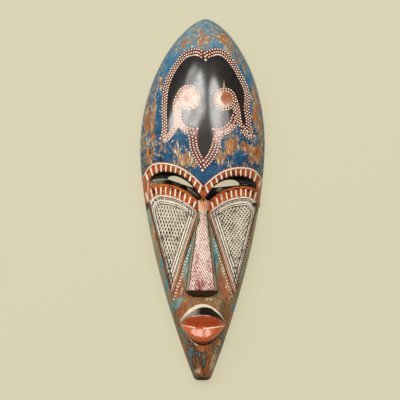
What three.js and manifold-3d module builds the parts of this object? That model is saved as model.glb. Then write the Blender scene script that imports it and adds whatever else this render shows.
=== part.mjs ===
// Long oval wooden mask, carved from one block and hollowed from behind. Millimetres.
// It lies on the flat rim of its back: +Z is out of the face, +Y is towards the crown, +X is to the
// viewer's right. The origin is on the rim's plane, in the middle of the length.
import * as THREE from 'three';
import { LoftGeometry } from 'three/addons/geometries/LoftGeometry.js';
import { mergeVertices } from 'three/addons/utils/BufferGeometryUtils.js';
import Module from 'manifold-3d';

const { abs, cos, max, min, sin, sign, sqrt, PI } = Math;
const SIDES = [-1, 1];

// Outline and body
const CROWN_Y = 225.3;
const CHIN_Y = -225.3;
const WIDEST_Y = 64.7;
const HALF_WIDTH = 77.6;
const CROWN_FULLNESS = 0.66;
const CHIN_TAPER = 68;
const CHIN_TAPER_POWER = 1.66;
const CHIN_ROUND = 5;
const CHIN_BLUNTNESS = 0.75;
const CROWN_LEAN = 4.1;
const LEAN_FROM_Y = 49.7;
const LEAN_POWER = 1.3;
const CREST_Y = 80;
const CREST_Z = 59;
const CROWN_DROP_POWER = 0.55;

// Height of the middle of the front, before nose and lips, as [y, z]
const CREST_LINE = [
  [CHIN_Y, 29], [-200, 39], [-150, 47], [-105, 50], [-60, 54], [-10, 57], [35, 58.5], [CREST_Y, CREST_Z],
];

// How square a cross-section is, as [y, power]: 2 is an ellipse, 3 has steep sides and a flatter front
const SQUARENESS = [
  [CHIN_Y, 2.1], [-170, 2.4], [-110, 2.9], [-60, 2.9], [-5, 2.5], [50, 2.25], [CROWN_Y, 2.1],
];

// Hollow of the back: its ceiling as [y, z]
const HOLLOW_CROWN_Y = 188;
const HOLLOW_CHIN_Y = -172;
const RIM_WIDTH = 10;
const CEILING = [
  [HOLLOW_CHIN_Y, 16], [-140, 27], [-60, 26], [16, 20], [42, 24], [70, 40], [100, 46], [140, 40],
  [HOLLOW_CROWN_Y, 18],
];
const HOLLOW_SQUARENESS = 2.5;
const HOLLOW_END_POWER = 6;

// Brows, sockets, lids and cheek panels end in lines like a gull's wing: each rises from the middle to a peak
// and falls again towards the side. The left wing sits a little higher than the right.
const MIDDLE_X = 1.3;
const WING_END = 75;
const WING_STEP = 4.4;
const WING_SKEW = 0.056;
const browTop = wing({ peak: [49, 42.7], inner: { drop: 26.8, power: 2.1 }, outer: { drop: 18, power: 3.3 } });
const browFoot = wing({ peak: [46, 30.6], inner: { drop: 33.6, power: 2.4 }, outer: { drop: 20.4, power: 2.3 } });
const lidTop = wing({ peak: [51, 18.7], inner: { drop: 27.1, power: 2.2 }, outer: { drop: 10, power: 2.3 } });
const lidFoot = wing({ peak: [53, 4.8], inner: { drop: 28.1, power: 2.1 }, outer: { drop: 15.4, power: 1.7 } });

// Brow and lid bands, with notches cut across them. BAND_FROM and the like count wing steps from the middle.
const BAND_FROM = 1;
const BAND_TO = 16;
const BEAD_WIDTH = 3;
const BEAD_HEIGHT = 1.2;
const BROW_UNDERCUT = 3.5;
const BROW_STEP = 0.8;
const LID_TOP_Z = 47;
const LID_FOOT_Z = 42.5;
const LID_FALL = 0.1;
const NOTCH_PITCH = 6.9;
const NOTCH_WIDTH = 4.7;
const NOTCH_DEPTH = 1.3;
const NOTCH_OVERRUN = 0.6;
const NOTCHED_BROW = [5, 70];
const NOTCHED_LID = [12, 66];

// Eye sockets and the slits that go through them
const SOCKET_TO = 15;
const SOCKET_Z = 31;
const SOCKET_INNER_Z = 40;
const SOCKET_INNER_REACH = 20;
const SOCKET_BEND = 0.62;
const SOCKET_DISH = 1;
const SLITS = [
  { inner: [-11, 14.5], outer: [-43.3, 25.5], height: 7.2 },
  { inner: [13.4, 14.7], outer: [46.4, 18], height: 7.9 },
];
const SLIT_STEPS = 10;
const SLIT_INNER_POWER = 0.85;
const SLIT_OUTER_POWER = 0.6;

// Cheek panels: flat three-cornered fields that slope outwards and towards the chin, as [from the middle, y]
const PANEL_INNER = [8.8, -18.5];
const PANEL_OUTER = [66, -7];
const PANEL_TIP = [39.6, -113];
const PANEL_FROM = 2;
const PANEL_TO = 16;
const PANEL_RIM_TO = 14;
const PANEL_Z = 48;
const PANEL_FALL_OUT = 0.25;
const PANEL_FALL_DOWN = 0.0675;
const PANEL_RIM_WIDTH = 3.2;
const PANEL_RIM_HEIGHT = 1.6;
const PANEL_BEVEL = 3.6;
const PANEL_OVERCUT = 1;

// Valley on each side of the nose, running up between the eyes, as [y, z]
const VALLEY = [[-136, 49], [-122, 43], [-105, 38], [-60, 37], [-26, 41], [-12, 50], [0, 54], [18, 59]];
const VALLEY_STEPS = 12;
const VALLEY_FLARE = 5;
const BRIDGE_STATIONS = [-12, -6, 0, 9, 18];
const BRIDGE_HALF_WIDTH = 4.4;
const BRIDGE_RISE = 14;
const BRIDGE_BEVEL = 1.2;

// Nose, as [y, half-width of the front, half-width at the foot, height]
const NOSE = [
  [-121, 17, 18.5, 44],
  [-115, 17.6, 21, 64.5],
  [-112, 17.4, 21, 68],
  [-104, 16.4, 20.4, 69.5],
  [-84, 13.6, 17.4, 66],
  [-50, 9.4, 12, 59],
  [-20, 5.4, 6.8, 53],
  [-8, 4.4, 5.2, 52],
  [18, 3, 3.6, 55],
];
const NOSE_ROUND = 1.6;
const NOSE_TOP_X = 0.9;
const NOSE_FOOT_X = -1;

// Mouth from its left to its right corner. Each ridge across it is, at the middle, [rise from the corners,
// height over the body].
const MOUTH_LEFT = [-27.5, -155];
const MOUTH_RIGHT = [28.6, -156];
const HOOD = [23.5, -0.8];
const MOUTH_CORNER_LIFT = -0.8;
const LIP_EDGE = [11.5, 11.5];
const PARTING = [-4, 5];
const LOWER_LIP = [[-7.5, 12.5], [-13, 15], [-19, 12.5], [-24.3, -0.8]];
const LIP_ARCH_POWER = 0.85;
const LIP_SWELL_POWER = 0.6;

// Facets and reach of the cutting solids
const CHIN_ROWS = 26;
const CHIN_CROWDING = 1.15;
const CROWN_ROWS = 15;
const CROWN_END = 0.4;
const DOME_COLUMNS = 36;
const HOLLOW_ROWS = 22;
const HOLLOW_COLUMNS = 20;
const MOUTH_STEPS = 16;
const ABOVE = 90;
const BELOW = -5;
const INSIDE = 20;

const crestLine = along(CREST_LINE);
const squareness = along(SQUARENESS);
const ceiling = along(CEILING);
const valley = along(VALLEY);

const wasm = await Module();
wasm.setup();

// A smooth curve through [y, value] stations, level at both ends
function along(stations) {
  const last = stations.length - 1;
  const slopes = stations.map((station, i) => {
    if (i === 0 || i === last) return 0;
    return (stations[i + 1][1] - stations[i - 1][1]) / (stations[i + 1][0] - stations[i - 1][0]);
  });
  return (y) => {
    let i = 0;
    while (i < last - 1 && y > stations[i + 1][0]) i += 1;
    const [fromY, from] = stations[i];
    const [toY, to] = stations[i + 1];
    const span = toY - fromY;
    const t = min(max((y - fromY) / span, 0), 1);
    const ease = t * t * (3 - 2 * t);
    return from + (to - from) * ease
      + span * (slopes[i] * t * (1 - t) ** 2 - slopes[i + 1] * t * t * (1 - t));
  };
}

function mix(from, to, t) {
  return from + (to - from) * t;
}

// Height y of a wing line at x; the peak is [distance from the middle, y]
function wing({ peak: [peakAt, peakY], inner, outer }) {
  return (x) => {
    const a = abs(x - MIDDLE_X);
    const fallen = a < peakAt
      ? inner.drop * (1 - a / peakAt) ** inner.power
      : outer.drop * min((a - peakAt) / (WING_END - peakAt), 1) ** outer.power;
    return peakY - fallen - WING_SKEW * x;
  };
}

function chinRound(y) {
  const t = min((y - CHIN_Y) / CHIN_ROUND, 1);
  return mix(CHIN_BLUNTNESS, 1, sqrt(1 - (1 - t) ** 2));
}

function halfWidth(y) {
  if (y > WIDEST_Y) {
    const up = (y - WIDEST_Y) / (CROWN_Y - WIDEST_Y);
    return HALF_WIDTH * (1 - up * up) ** CROWN_FULLNESS;
  }
  const down = (WIDEST_Y - y) / (WIDEST_Y - CHIN_Y);
  return (HALF_WIDTH - CHIN_TAPER * down ** CHIN_TAPER_POWER) * chinRound(y);
}

function crest(y) {
  if (y > CREST_Y) {
    const up = (y - CREST_Y) / (CROWN_Y - CREST_Y);
    return CREST_Z * (1 - up * up) ** CROWN_DROP_POWER;
  }
  return crestLine(y) * chinRound(y);
}

function middle(y) {
  return CROWN_LEAN * max((y - LEAN_FROM_Y) / (CROWN_Y - LEAN_FROM_Y), 0) ** LEAN_POWER;
}

// Height of the uncut body
function dome(x, y) {
  const share = min(abs(x - middle(y)) / halfWidth(y), 1);
  const power = squareness(y);
  return crest(y) * (1 - share ** power) ** (1 / power);
}

// Half of an oval section, from the right side over the top to the left
function arch(y, wide, high, power, steps) {
  return Array.from({ length: steps + 1 }, (_, i) => {
    const angle = PI * i / steps;
    const across = sign(cos(angle)) * abs(cos(angle)) ** (2 / power);
    const up = i === 0 || i === steps ? 0 : sin(angle) ** (2 / power);
    return new THREE.Vector3(middle(y) + wide * across, y, high * up);
  });
}

// A closed solid through sections of equally many points, wound so that its faces point outwards
function loft(sections) {
  const [first, second] = sections;
  const facing = new THREE.Vector3();
  const onwards = new THREE.Vector3();
  first.forEach((point, i) => {
    facing.add(new THREE.Vector3().crossVectors(point, first[(i + 1) % first.length]));
    onwards.add(second[i]).sub(point);
  });
  const wound = facing.dot(onwards) > 0 ? sections : sections.map((section) => [...section].reverse());
  const skin = new LoftGeometry(wound, { capStart: true, capEnd: true });
  const bare = new THREE.BufferGeometry();
  bare.setAttribute('position', skin.getAttribute('position'));
  bare.setIndex(skin.index);
  const merged = mergeVertices(bare, 1e-4);
  return new wasm.Manifold(new wasm.Mesh({
    numProp: 3,
    vertProperties: merged.attributes.position.array,
    triVerts: new Uint32Array(merged.index.array),
  }));
}

// A solid between rails, each a function of t that gives [x, y, z], and the level z = base
function railed(rails, stations, base) {
  return loft(stations.map((t) => {
    const line = rails.map((rail) => new THREE.Vector3(...rail(t)));
    const first = line[0];
    const last = line[line.length - 1];
    return [...line, new THREE.Vector3(last.x, last.y, base), new THREE.Vector3(first.x, first.y, base)];
  }));
}

// Places across the face on one side, a wing step apart, so that neighbouring forms share their edges
function wingPlaces(side, from, to) {
  return Array.from({ length: to - from + 1 }, (_, i) => MIDDLE_X + side * (from + i) * WING_STEP);
}

function evenly(steps, from, to) {
  return Array.from({ length: steps + 1 }, (_, i) => mix(from, to, i / steps));
}

function body() {
  const rows = [];
  for (let i = 0; i <= CHIN_ROWS; i += 1) {
    rows.push(mix(CHIN_Y, WIDEST_Y, (i / CHIN_ROWS) ** CHIN_CROWDING));
  }
  for (let i = 1; i <= CROWN_ROWS; i += 1) {
    rows.push(mix(WIDEST_Y, CROWN_Y, sin(PI / 2 * i / (CROWN_ROWS + CROWN_END))));
  }
  return loft(rows.map((y) => arch(y, halfWidth(y), crest(y), squareness(y), DOME_COLUMNS)));
}

function hollow() {
  const middleY = (HOLLOW_CROWN_Y + HOLLOW_CHIN_Y) / 2;
  const reach = (HOLLOW_CROWN_Y - HOLLOW_CHIN_Y) / 2;
  return loft(Array.from({ length: HOLLOW_ROWS + 1 }, (_, i) => {
    const y = middleY - reach * cos(PI * (i + 0.5) / (HOLLOW_ROWS + 1));
    const end = sqrt(1 - abs((y - middleY) / reach) ** HOLLOW_END_POWER);
    const wide = (halfWidth(y) - RIM_WIDTH) * end;
    const section = arch(y, wide, ceiling(y) * end, HOLLOW_SQUARENESS, HOLLOW_COLUMNS);
    const left = middle(y) - wide;
    const right = middle(y) + wide;
    return [...section, new THREE.Vector3(left, y, BELOW), new THREE.Vector3(right, y, BELOW)];
  }));
}

function lidTopZ(x) {
  return LID_TOP_Z - LID_FALL * abs(x - MIDDLE_X);
}

function lidFootZ(x) {
  return LID_FOOT_Z - LID_FALL * abs(x - MIDDLE_X);
}

function socketZ(x) {
  const inner = max(1 - abs(x - MIDDLE_X) / SOCKET_INNER_REACH, 0);
  return SOCKET_Z + (SOCKET_INNER_Z - SOCKET_Z) * inner ** 2;
}

function socket(side) {
  const bend = (x) => mix(browFoot(x), lidTop(x), SOCKET_BEND);
  return railed([
    (x) => [x, browFoot(x), socketZ(x)],
    (x) => [x, bend(x), socketZ(x) + SOCKET_DISH],
    (x) => [x, lidTop(x), lidTopZ(x)],
  ], wingPlaces(side, BAND_FROM, SOCKET_TO), ABOVE);
}

// Rise of a slit's upper edge over the line between its ends: pointed inside, round outside
function slitRise(t) {
  const leaf = (s) => s ** SLIT_INNER_POWER * (1 - s) ** SLIT_OUTER_POWER;
  return leaf(t) / leaf(SLIT_INNER_POWER / (SLIT_INNER_POWER + SLIT_OUTER_POWER));
}

function slit({ inner, outer, height }) {
  const point = (t, up) => [mix(inner[0], outer[0], t), mix(inner[1], outer[1], t) + up, BELOW];
  return railed([
    (t) => point(t, 0),
    (t) => point(t, height * slitRise(t)),
  ], evenly(SLIT_STEPS, 0.02, 0.99), ABOVE);
}

function browBand(side) {
  const top = (x) => browTop(x) - BEAD_WIDTH / 2;
  return railed([
    (x) => [x, top(x), dome(x, top(x)) - BROW_STEP],
    (x) => [x, browFoot(x), dome(x, browFoot(x)) - BROW_UNDERCUT],
  ], wingPlaces(side, 0, BAND_TO), ABOVE);
}

function browBead(side) {
  const rail = (off, lift) => (x) => {
    const y = browTop(x) + off * BEAD_WIDTH;
    return [x, y, dome(x, y) + lift];
  };
  return railed([
    rail(0.5, -BROW_STEP),
    rail(0.25, BEAD_HEIGHT),
    rail(-0.15, BEAD_HEIGHT),
    rail(-0.4, -BROW_STEP),
  ], wingPlaces(side, 0, BAND_TO), 0);
}

function lidBand(side) {
  return railed([
    (x) => [x, lidTop(x), lidTopZ(x)],
    (x) => [x, lidFoot(x), lidFootZ(x)],
  ], wingPlaces(side, BAND_FROM, BAND_TO), ABOVE);
}

// Notches across a band, one cell after another from the middle outwards
function notches(side, rails, from, to) {
  const cells = [];
  for (let a = from; a + NOTCH_WIDTH < to; a += NOTCH_PITCH) {
    const x = MIDDLE_X + side * a;
    cells.push(railed(rails, [x, x + side * NOTCH_WIDTH], ABOVE));
  }
  return cells;
}

function browNotches(side) {
  const top = (x) => browTop(x) - BEAD_WIDTH;
  const foot = (x) => browFoot(x) - NOTCH_OVERRUN;
  return notches(side, [
    (x) => [x, top(x), dome(x, top(x)) - NOTCH_DEPTH],
    (x) => [x, foot(x), dome(x, foot(x)) - BROW_UNDERCUT - NOTCH_DEPTH],
  ], ...NOTCHED_BROW);
}

function lidNotches(side) {
  const rail = (share) => (x) => {
    const z = mix(lidTopZ(x), lidFootZ(x), share);
    return [x, mix(lidTop(x), lidFoot(x), share), z - NOTCH_DEPTH];
  };
  return notches(side, [rail(0.25), rail(0.95)], ...NOTCHED_LID);
}

// Distance from the middle of a line between two corners, at a given y, and the other way round
function lineAt(from, to, y) {
  return mix(from[0], to[0], (y - from[1]) / (to[1] - from[1]));
}

function lineY(from, to, a) {
  return mix(from[1], to[1], (a - from[0]) / (to[0] - from[0]));
}

function panelZ(x, y) {
  return PANEL_Z - PANEL_FALL_OUT * (abs(x - MIDDLE_X) - PANEL_INNER[0])
    + PANEL_FALL_DOWN * (y - PANEL_INNER[1]);
}

// Lower border of a panel: down the inner edge to the tip and up the outer edge, cut a little wide inside
function panelFoot(x) {
  const a = abs(x - MIDDLE_X);
  const inner = lineY(PANEL_INNER, PANEL_TIP, a + PANEL_OVERCUT);
  const outer = lineY(PANEL_TIP, PANEL_OUTER, a);
  return min(max(inner, outer), lidFoot(x) - PANEL_OVERCUT);
}

function panel(side) {
  return railed([
    (x) => [x, lidFoot(x), panelZ(x, lidFoot(x))],
    (x) => [x, panelFoot(x), panelZ(x, panelFoot(x))],
  ], wingPlaces(side, PANEL_FROM, PANEL_TO), ABOVE);
}

function panelRim(side) {
  const rail = (off) => (x) => {
    const y = lidFoot(x) + off;
    return [x, y, panelZ(x, y) + PANEL_RIM_HEIGHT];
  };
  return railed([rail(0), rail(-PANEL_RIM_WIDTH)], wingPlaces(side, PANEL_FROM, PANEL_RIM_TO), INSIDE);
}

function valleyCut() {
  const stations = [...evenly(VALLEY_STEPS, VALLEY[0][0], PANEL_INNER[1]), ...BRIDGE_STATIONS];
  return loft(stations.map((y) => {
    const lower = y <= PANEL_INNER[1];
    const up = min((y - PANEL_INNER[1]) / BRIDGE_RISE, 1);
    const wide = lower ? lineAt(PANEL_INNER, PANEL_TIP, y) : mix(PANEL_INNER[0], BRIDGE_HALF_WIDTH, up);
    const bevel = lower ? PANEL_BEVEL : BRIDGE_BEVEL;
    const slope = max(panelZ(MIDDLE_X + wide, y) - valley(y), 1) / bevel;
    const open = wide + VALLEY_FLARE;
    const top = valley(y) + slope * (bevel + VALLEY_FLARE);
    const foot = wide - bevel;
    const floor = valley(y);
    const across = [[-open, ABOVE], [-open, top], [-foot, floor], [foot, floor], [open, top], [open, ABOVE]];
    return across.map(([x, z]) => new THREE.Vector3(MIDDLE_X + x, y, z));
  }));
}

function nose() {
  const [lowest] = NOSE[0];
  const [highest] = NOSE[NOSE.length - 1];
  return loft(NOSE.map(([y, front, foot, z]) => {
    const x = mix(NOSE_FOOT_X, NOSE_TOP_X, (y - lowest) / (highest - lowest));
    const footZ = min(valley(y), z) - 1;
    const half = [[foot, INSIDE], [foot, footZ], [front, z]];
    const mirrored = half.map(([off, height]) => [-off, height]).reverse();
    const across = [...half, [0, z + NOSE_ROUND], ...mirrored];
    return across.map(([off, height]) => new THREE.Vector3(x + off, y, height));
  }));
}

function mouth() {
  const rail = ([rise, lift]) => (t) => {
    const full = sin(PI * t);
    const x = mix(MOUTH_LEFT[0], MOUTH_RIGHT[0], t);
    const y = mix(MOUTH_LEFT[1], MOUTH_RIGHT[1], t) + rise * full ** LIP_ARCH_POWER;
    return [x, y, dome(x, y) + mix(MOUTH_CORNER_LIFT, lift, full ** LIP_SWELL_POWER)];
  };
  return railed([HOOD, LIP_EDGE, PARTING, ...LOWER_LIP].map(rail), evenly(MOUTH_STEPS, 0.01, 0.99), INSIDE);
}

function carve() {
  let waste = valleyCut();
  for (const side of SIDES) {
    waste = waste.add(browBand(side).add(socket(side)).add(lidBand(side)).add(panel(side)));
  }
  let mask = body().subtract(waste).add(nose()).add(mouth());
  for (const side of SIDES) {
    mask = mask.add(browBead(side)).add(panelRim(side));
    for (const cell of [...browNotches(side), ...lidNotches(side)]) mask = mask.subtract(cell);
  }
  for (const opening of SLITS) mask = mask.subtract(slit(opening));
  return mask.subtract(hollow());
}

function toGeometry(solid) {
  const { vertProperties, triVerts } = solid.getMesh();
  const geometry = new THREE.BufferGeometry();
  geometry.setAttribute('position', new THREE.BufferAttribute(vertProperties, 3));
  geometry.setIndex(new THREE.BufferAttribute(triVerts, 1));
  geometry.computeVertexNormals();
  return geometry;
}

const paintedWood = new THREE.MeshStandardMaterial({ color: 0x3d6a8e, roughness: 0.45, metalness: 0 });
const mask = new THREE.Mesh(toGeometry(carve()), paintedWood);
mask.name = 'mask';

const model = new THREE.Group();
model.add(mask);

export default model;
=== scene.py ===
# A long carved and painted wooden mask, in fine carving and paint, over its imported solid.
# Sizes are in millimetres until a mesh is made. x, y and z are the part's own: z is out of the face,
# y is towards the crown, and x is to the viewer's right. A curve along the mask is a row of (y, value).
import math

import bpy
import numpy as np
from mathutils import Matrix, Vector


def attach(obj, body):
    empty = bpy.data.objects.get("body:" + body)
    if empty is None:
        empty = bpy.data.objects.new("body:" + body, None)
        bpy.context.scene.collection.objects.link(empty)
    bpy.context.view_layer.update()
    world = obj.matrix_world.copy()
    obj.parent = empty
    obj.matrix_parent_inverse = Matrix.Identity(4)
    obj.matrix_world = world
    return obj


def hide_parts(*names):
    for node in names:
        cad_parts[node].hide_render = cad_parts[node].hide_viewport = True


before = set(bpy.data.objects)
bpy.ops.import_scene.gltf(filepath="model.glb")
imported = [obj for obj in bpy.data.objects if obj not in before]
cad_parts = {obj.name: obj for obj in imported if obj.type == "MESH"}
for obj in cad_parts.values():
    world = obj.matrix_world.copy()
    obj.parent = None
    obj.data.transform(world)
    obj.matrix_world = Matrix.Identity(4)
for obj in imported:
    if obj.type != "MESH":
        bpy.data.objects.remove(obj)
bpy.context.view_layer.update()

MM = 0.001
SIDES = (-1, 1)

# Outline and body
CROWN_Y = 225.3
CHIN_Y = -225.3
WIDEST_Y = 64.7
HALF_WIDTH = 77.6
CROWN_FULLNESS = 0.66
CHIN_TAPER = 68
CHIN_TAPER_POWER = 1.66
CHIN_ROUND = 5
CHIN_BLUNTNESS = 0.75
CROWN_LEAN = 4.1
LEAN_FROM_Y = 49.7
LEAN_POWER = 1.3
CREST_Y = 80
CREST_Z = 59
CROWN_DROP_POWER = 0.55
CREST_LINE = (
    (CHIN_Y, 29), (-200, 39), (-150, 47), (-105, 50), (-60, 54), (-10, 57), (35, 58.5), (CREST_Y, CREST_Z),
)
SQUARENESS = (
    (CHIN_Y, 2.1), (-170, 2.4), (-110, 2.9), (-60, 2.9), (-5, 2.5), (50, 2.25), (CROWN_Y, 2.1),
)

# Hollow of the back. The gouge's marks are shading alone.
HOLLOW_CROWN_Y = 188
HOLLOW_CHIN_Y = -172
RIM_WIDTH = 10
CEILING = (
    (HOLLOW_CHIN_Y, 16), (-140, 27), (-60, 26), (16, 20), (42, 24), (70, 40), (100, 46), (140, 40),
    (HOLLOW_CROWN_Y, 18),
)
HOLLOW_SQUARENESS = 2.5
HOLLOW_END_POWER = 6
HOLLOW_TIP = 0.02
GOUGE_DEPTH = 1.5

# Brows, sockets, lids and cheek panels end in lines like a gull's wing, with a peak on each side
MIDDLE_X = 1.3
WING_END = 75
WING_SKEW = 0.056
BAND_FROM = 4.4
BAND_TO = 70.4
SOCKET_TO = 66
BEAD_WIDTH = 3
BEAD_HEIGHT = 1.2
BEAD_EDGES = (-0.5, -0.25, 0.25, 0.5)
BEAD_LIFTS = (-1, 1, 1, -1)
BROW_STEP = 0.8
BROW_UNDERCUT = 3.5
LID_TOP_Z = 47
LID_FOOT_Z = 42.5
LID_FALL = 0.1
SOCKET_Z = 31
SOCKET_INNER_Z = 40
SOCKET_INNER_REACH = 20
SOCKET_BEND = 0.62
SOCKET_DISH = 1

# Ribs across the brow and lid bands, as runs from the middle. They lean with the band, between the runs
# of RIB_LEAN_RUNS, and the notches between them have sloping flanks.
RIB_PITCH = 6
RIB_WIDTH = 2.2
RIB_LEAN = 0.4
RIB_FLANK = 0.3
RIB_LEAN_RUNS = (3, BAND_TO - 2)
LONGEST_RUN = 90
NOTCH_DEPTH = 1.3
BROW_RIBS = (4.6, 70)
BROW_RIB_TOP_GAP = 0.8
BROW_RIB_TOP_FADE = 2
LID_RIBS = (10.9, 67)
# Shares of the lid's slope at which its notches end, with the share over which each end fades
LID_NOTCH_TOP = (0.2, 0.12)
LID_NOTCH_FOOT = (0.98, 0.05)

# Eye slits, pointed inside and round outside: inner corner, outer corner and height. They are cut with a
# punch that starts under the rim.
SLITS = (
    ((-11, 14.5), (-43.3, 25.5), 7.2),
    ((13.4, 14.7), (46.4, 18), 7.9),
)
SLIT_INNER_POWER = 0.85
SLIT_OUTER_POWER = 0.6
SLIT_CORNERS = 48
SLIT_SHARES = (0.02, 0.99)
PUNCH_FROM = -10
PUNCH_LENGTH = 100

# Cheek panels as distances from the middle and y
PANEL_INNER = (8.8, -18.5)
PANEL_OUTER = (66, -7)
PANEL_TIP = (39.6, -113)
PANEL_RIM_TO = 61.6
PANEL_Z = 48
PANEL_FALL_OUT = 0.25
PANEL_FALL_DOWN = 0.0675
PANEL_RIM_WIDTH = 3.2
PANEL_RIM_HEIGHT = 1.6
PANEL_RIM_STEEPNESS = 6
PANEL_BEVEL = 3.6
PANEL_OVERCUT = 1

# Valley on each side of the nose
VALLEY = (
    (-136, 49), (-122, 43), (-105, 38), (-60, 37), (-26, 41), (-12, 50), (0, 54), (18, 59),
)
VALLEY_FLARE = 5
BRIDGE_HALF_WIDTH = 4.4
BRIDGE_RISE = 14
BRIDGE_BEVEL = 1.2

# Nose as y, half-width of the front, half-width at the foot, height
NOSE = (
    (-121, 6, 10, 43.5), (-118.5, 11, 15.2, 51), (-115.5, 15.4, 19.4, 63), (-112.5, 16.2, 20.4, 68.5),
    (-104, 15, 19.8, 69.5), (-84, 12.6, 17, 66), (-50, 9, 12, 59), (-20, 5.4, 6.8, 53), (-8, 4.4, 5.2, 52),
    (18, 3, 3.6, 55),
)
NOSE_ROUND = 1.6
NOSE_TOP_X = 0.9
NOSE_FOOT_X = -1
NOSE_SUNK = 1

# Mouth: ridges across it as rise from the line between its corners and height over the body
MOUTH_LEFT = (-27.5, -155)
MOUTH_RIGHT = (28.6, -156)
LOWER_LIP_FOOT = -24.3
PARTING = -4
LIP_EDGE = 12
HOOD = 24.3
MOUTH_RIDGES = (
    (LOWER_LIP_FOOT, -0.8), (-21.5, 10.5), (-18.8, 14.4), (-16, 15), (-11, 13.5), (-6.5, 12), (-5, 11),
    (PARTING, 7.5), (LIP_EDGE, 11.5), (HOOD, -0.8),
)
MOUTH_CORNER_LIFT = -0.8
UPPER_ARCH_POWER = 0.58
LOWER_ARCH_POWER = 0.85
LIP_SWELL_POWER = 0.42
LIP_FLATNESS = 0.7
MOUTH_END = 0.005
MOUTH_CUT_END = 0.006

# Grid of the mesh: columns across the front and the back, how near to a steep step they are set, the
# sections on which columns are spaced evenly, and the angle in degrees below which faces shade as one
FRONT_COLUMNS = 180
BACK_COLUMNS = 28
STEP_GAP = 0.2
SECTIONS = 151
SECTION_STEPS = 500
SECTION_CROWDING = 3
SECTION_TOP_GAP = 0.5
WELD = 0.01
SMOOTH_BELOW = 35
# Rounds that settle a place which depends on itself
ROUNDS = 4
GRID_ROUNDS = 6


def mix(low, high, t):
    return low + (high - low) * t


def ramp(value, start, end):
    """0 at the start and 1 at the end, level beyond them."""
    return np.clip((value - start) / (end - start), 0, 1)


def along(stations):
    """A smooth curve through stations of place and value, level at both ends."""
    places, values = np.array(stations, float).T
    slopes = np.zeros(len(places))
    slopes[1:-1] = (values[2:] - values[:-2]) / (places[2:] - places[:-2])

    def curve(y):
        i = np.clip(np.searchsorted(places, y) - 1, 0, len(places) - 2)
        span = places[i + 1] - places[i]
        t = np.clip((y - places[i]) / span, 0, 1)
        ease = t * t * (3 - 2 * t)
        lean = slopes[i] * t * (1 - t) ** 2 - slopes[i + 1] * t * t * (1 - t)
        return mix(values[i], values[i + 1], ease) + span * lean

    return curve


def wing(peak, inner, outer, skew=WING_SKEW):
    """Height y of a wing line at x, from its peak and the drop and power of its two flanks."""
    peak_at, peak_y = peak

    def line(x):
        a = abs(x - MIDDLE_X)
        towards = inner[0] * np.clip(1 - a / peak_at, 0, 1) ** inner[1]
        away = outer[0] * ramp(a, peak_at, WING_END) ** outer[1]
        return peak_y - towards - away - skew * x

    return line


brow_top = wing((49, 42.2), (26.8, 2.1), (18, 3.3))
brow_foot = wing((46, 30.6), (33.6, 2.4), (20.4, 2.3))
lid_top = wing((51, 17.8), (27.1, 2.2), (10, 2.3), 0.031)
lid_foot = wing((53, 4.8), (28.1, 2.1), (15.4, 1.7), 0.02)

crest_line = along(CREST_LINE)
squareness = along(SQUARENESS)
ceiling = along(CEILING)
valley_floor = along(VALLEY)
mouth_lift = along(MOUTH_RIDGES)


def chin_round(y):
    t = np.clip((y - CHIN_Y) / CHIN_ROUND, 0, 1)
    return mix(CHIN_BLUNTNESS, 1, np.sqrt(1 - (1 - t) ** 2))


def half_width(y):
    above = HALF_WIDTH * (1 - ramp(y, WIDEST_Y, CROWN_Y) ** 2) ** CROWN_FULLNESS
    below = (HALF_WIDTH - CHIN_TAPER * ramp(y, WIDEST_Y, CHIN_Y) ** CHIN_TAPER_POWER) * chin_round(y)
    return np.where(y > WIDEST_Y, above, below)


def crest(y):
    above = CREST_Z * (1 - ramp(y, CREST_Y, CROWN_Y) ** 2) ** CROWN_DROP_POWER
    return np.where(y > CREST_Y, above, crest_line(y) * chin_round(y))


def middle(y):
    return CROWN_LEAN * ramp(y, LEAN_FROM_Y, CROWN_Y) ** LEAN_POWER


def dome(x, y):
    """Height of the uncut body."""
    share = np.clip(abs(x - middle(y)) / np.maximum(half_width(y), 1e-6), 0, 1)
    power = squareness(y)
    return crest(y) * (1 - share**power) ** (1 / power)


def off_middle(x):
    return abs(x - MIDDLE_X)


def lid_top_z(x):
    return LID_TOP_Z - LID_FALL * off_middle(x)


def lid_foot_z(x):
    return LID_FOOT_Z - LID_FALL * off_middle(x)


def socket_z(x):
    near = np.clip(1 - off_middle(x) / SOCKET_INNER_REACH, 0, 1)
    return SOCKET_Z + (SOCKET_INNER_Z - SOCKET_Z) * near**2


def rib_lean(run, side, top, foot):
    """Middle height of a band at a run from the middle, and how far its ribs lean there."""

    def centre(at):
        x = MIDDLE_X + side * at
        return (top(x) + foot(x)) / 2

    at = np.clip(run, *RIB_LEAN_RUNS)
    return centre(run), RIB_LEAN * (centre(at + 1) - centre(at - 1)) / 2


def rib_run(x, y, top, foot):
    """Distance of a point along a band of ribs, measured square to the band."""
    a = off_middle(x)
    run = a
    for _ in range(ROUNDS):
        centre, lean = rib_lean(run, np.where(x < MIDDLE_X, -1, 1), top, foot)
        run = np.clip(a + lean * (y - centre), 0, LONGEST_RUN)
    return run


def rib_line(run, side, top, foot):
    """x of a rib's edge as a function of y."""
    centre, lean = rib_lean(run, side, top, foot)
    return lambda y: MIDDLE_X + side * (run - lean * (y - centre))


def between_ribs(run, first, last):
    """1 in the notch between two ribs, 0 on a rib and beyond the ribbed length."""
    off_rib = abs((run - first + RIB_PITCH / 2) % RIB_PITCH - RIB_PITCH / 2)
    notch = np.clip((off_rib - RIB_WIDTH / 2) / RIB_FLANK, 0, 1)
    return np.where((run > first) & (run < last), notch, 0)


def line_at(start, end, y):
    """Distance from the middle of a line between two corners, at a given y."""
    return mix(start[0], end[0], (y - start[1]) / (end[1] - start[1]))


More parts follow.
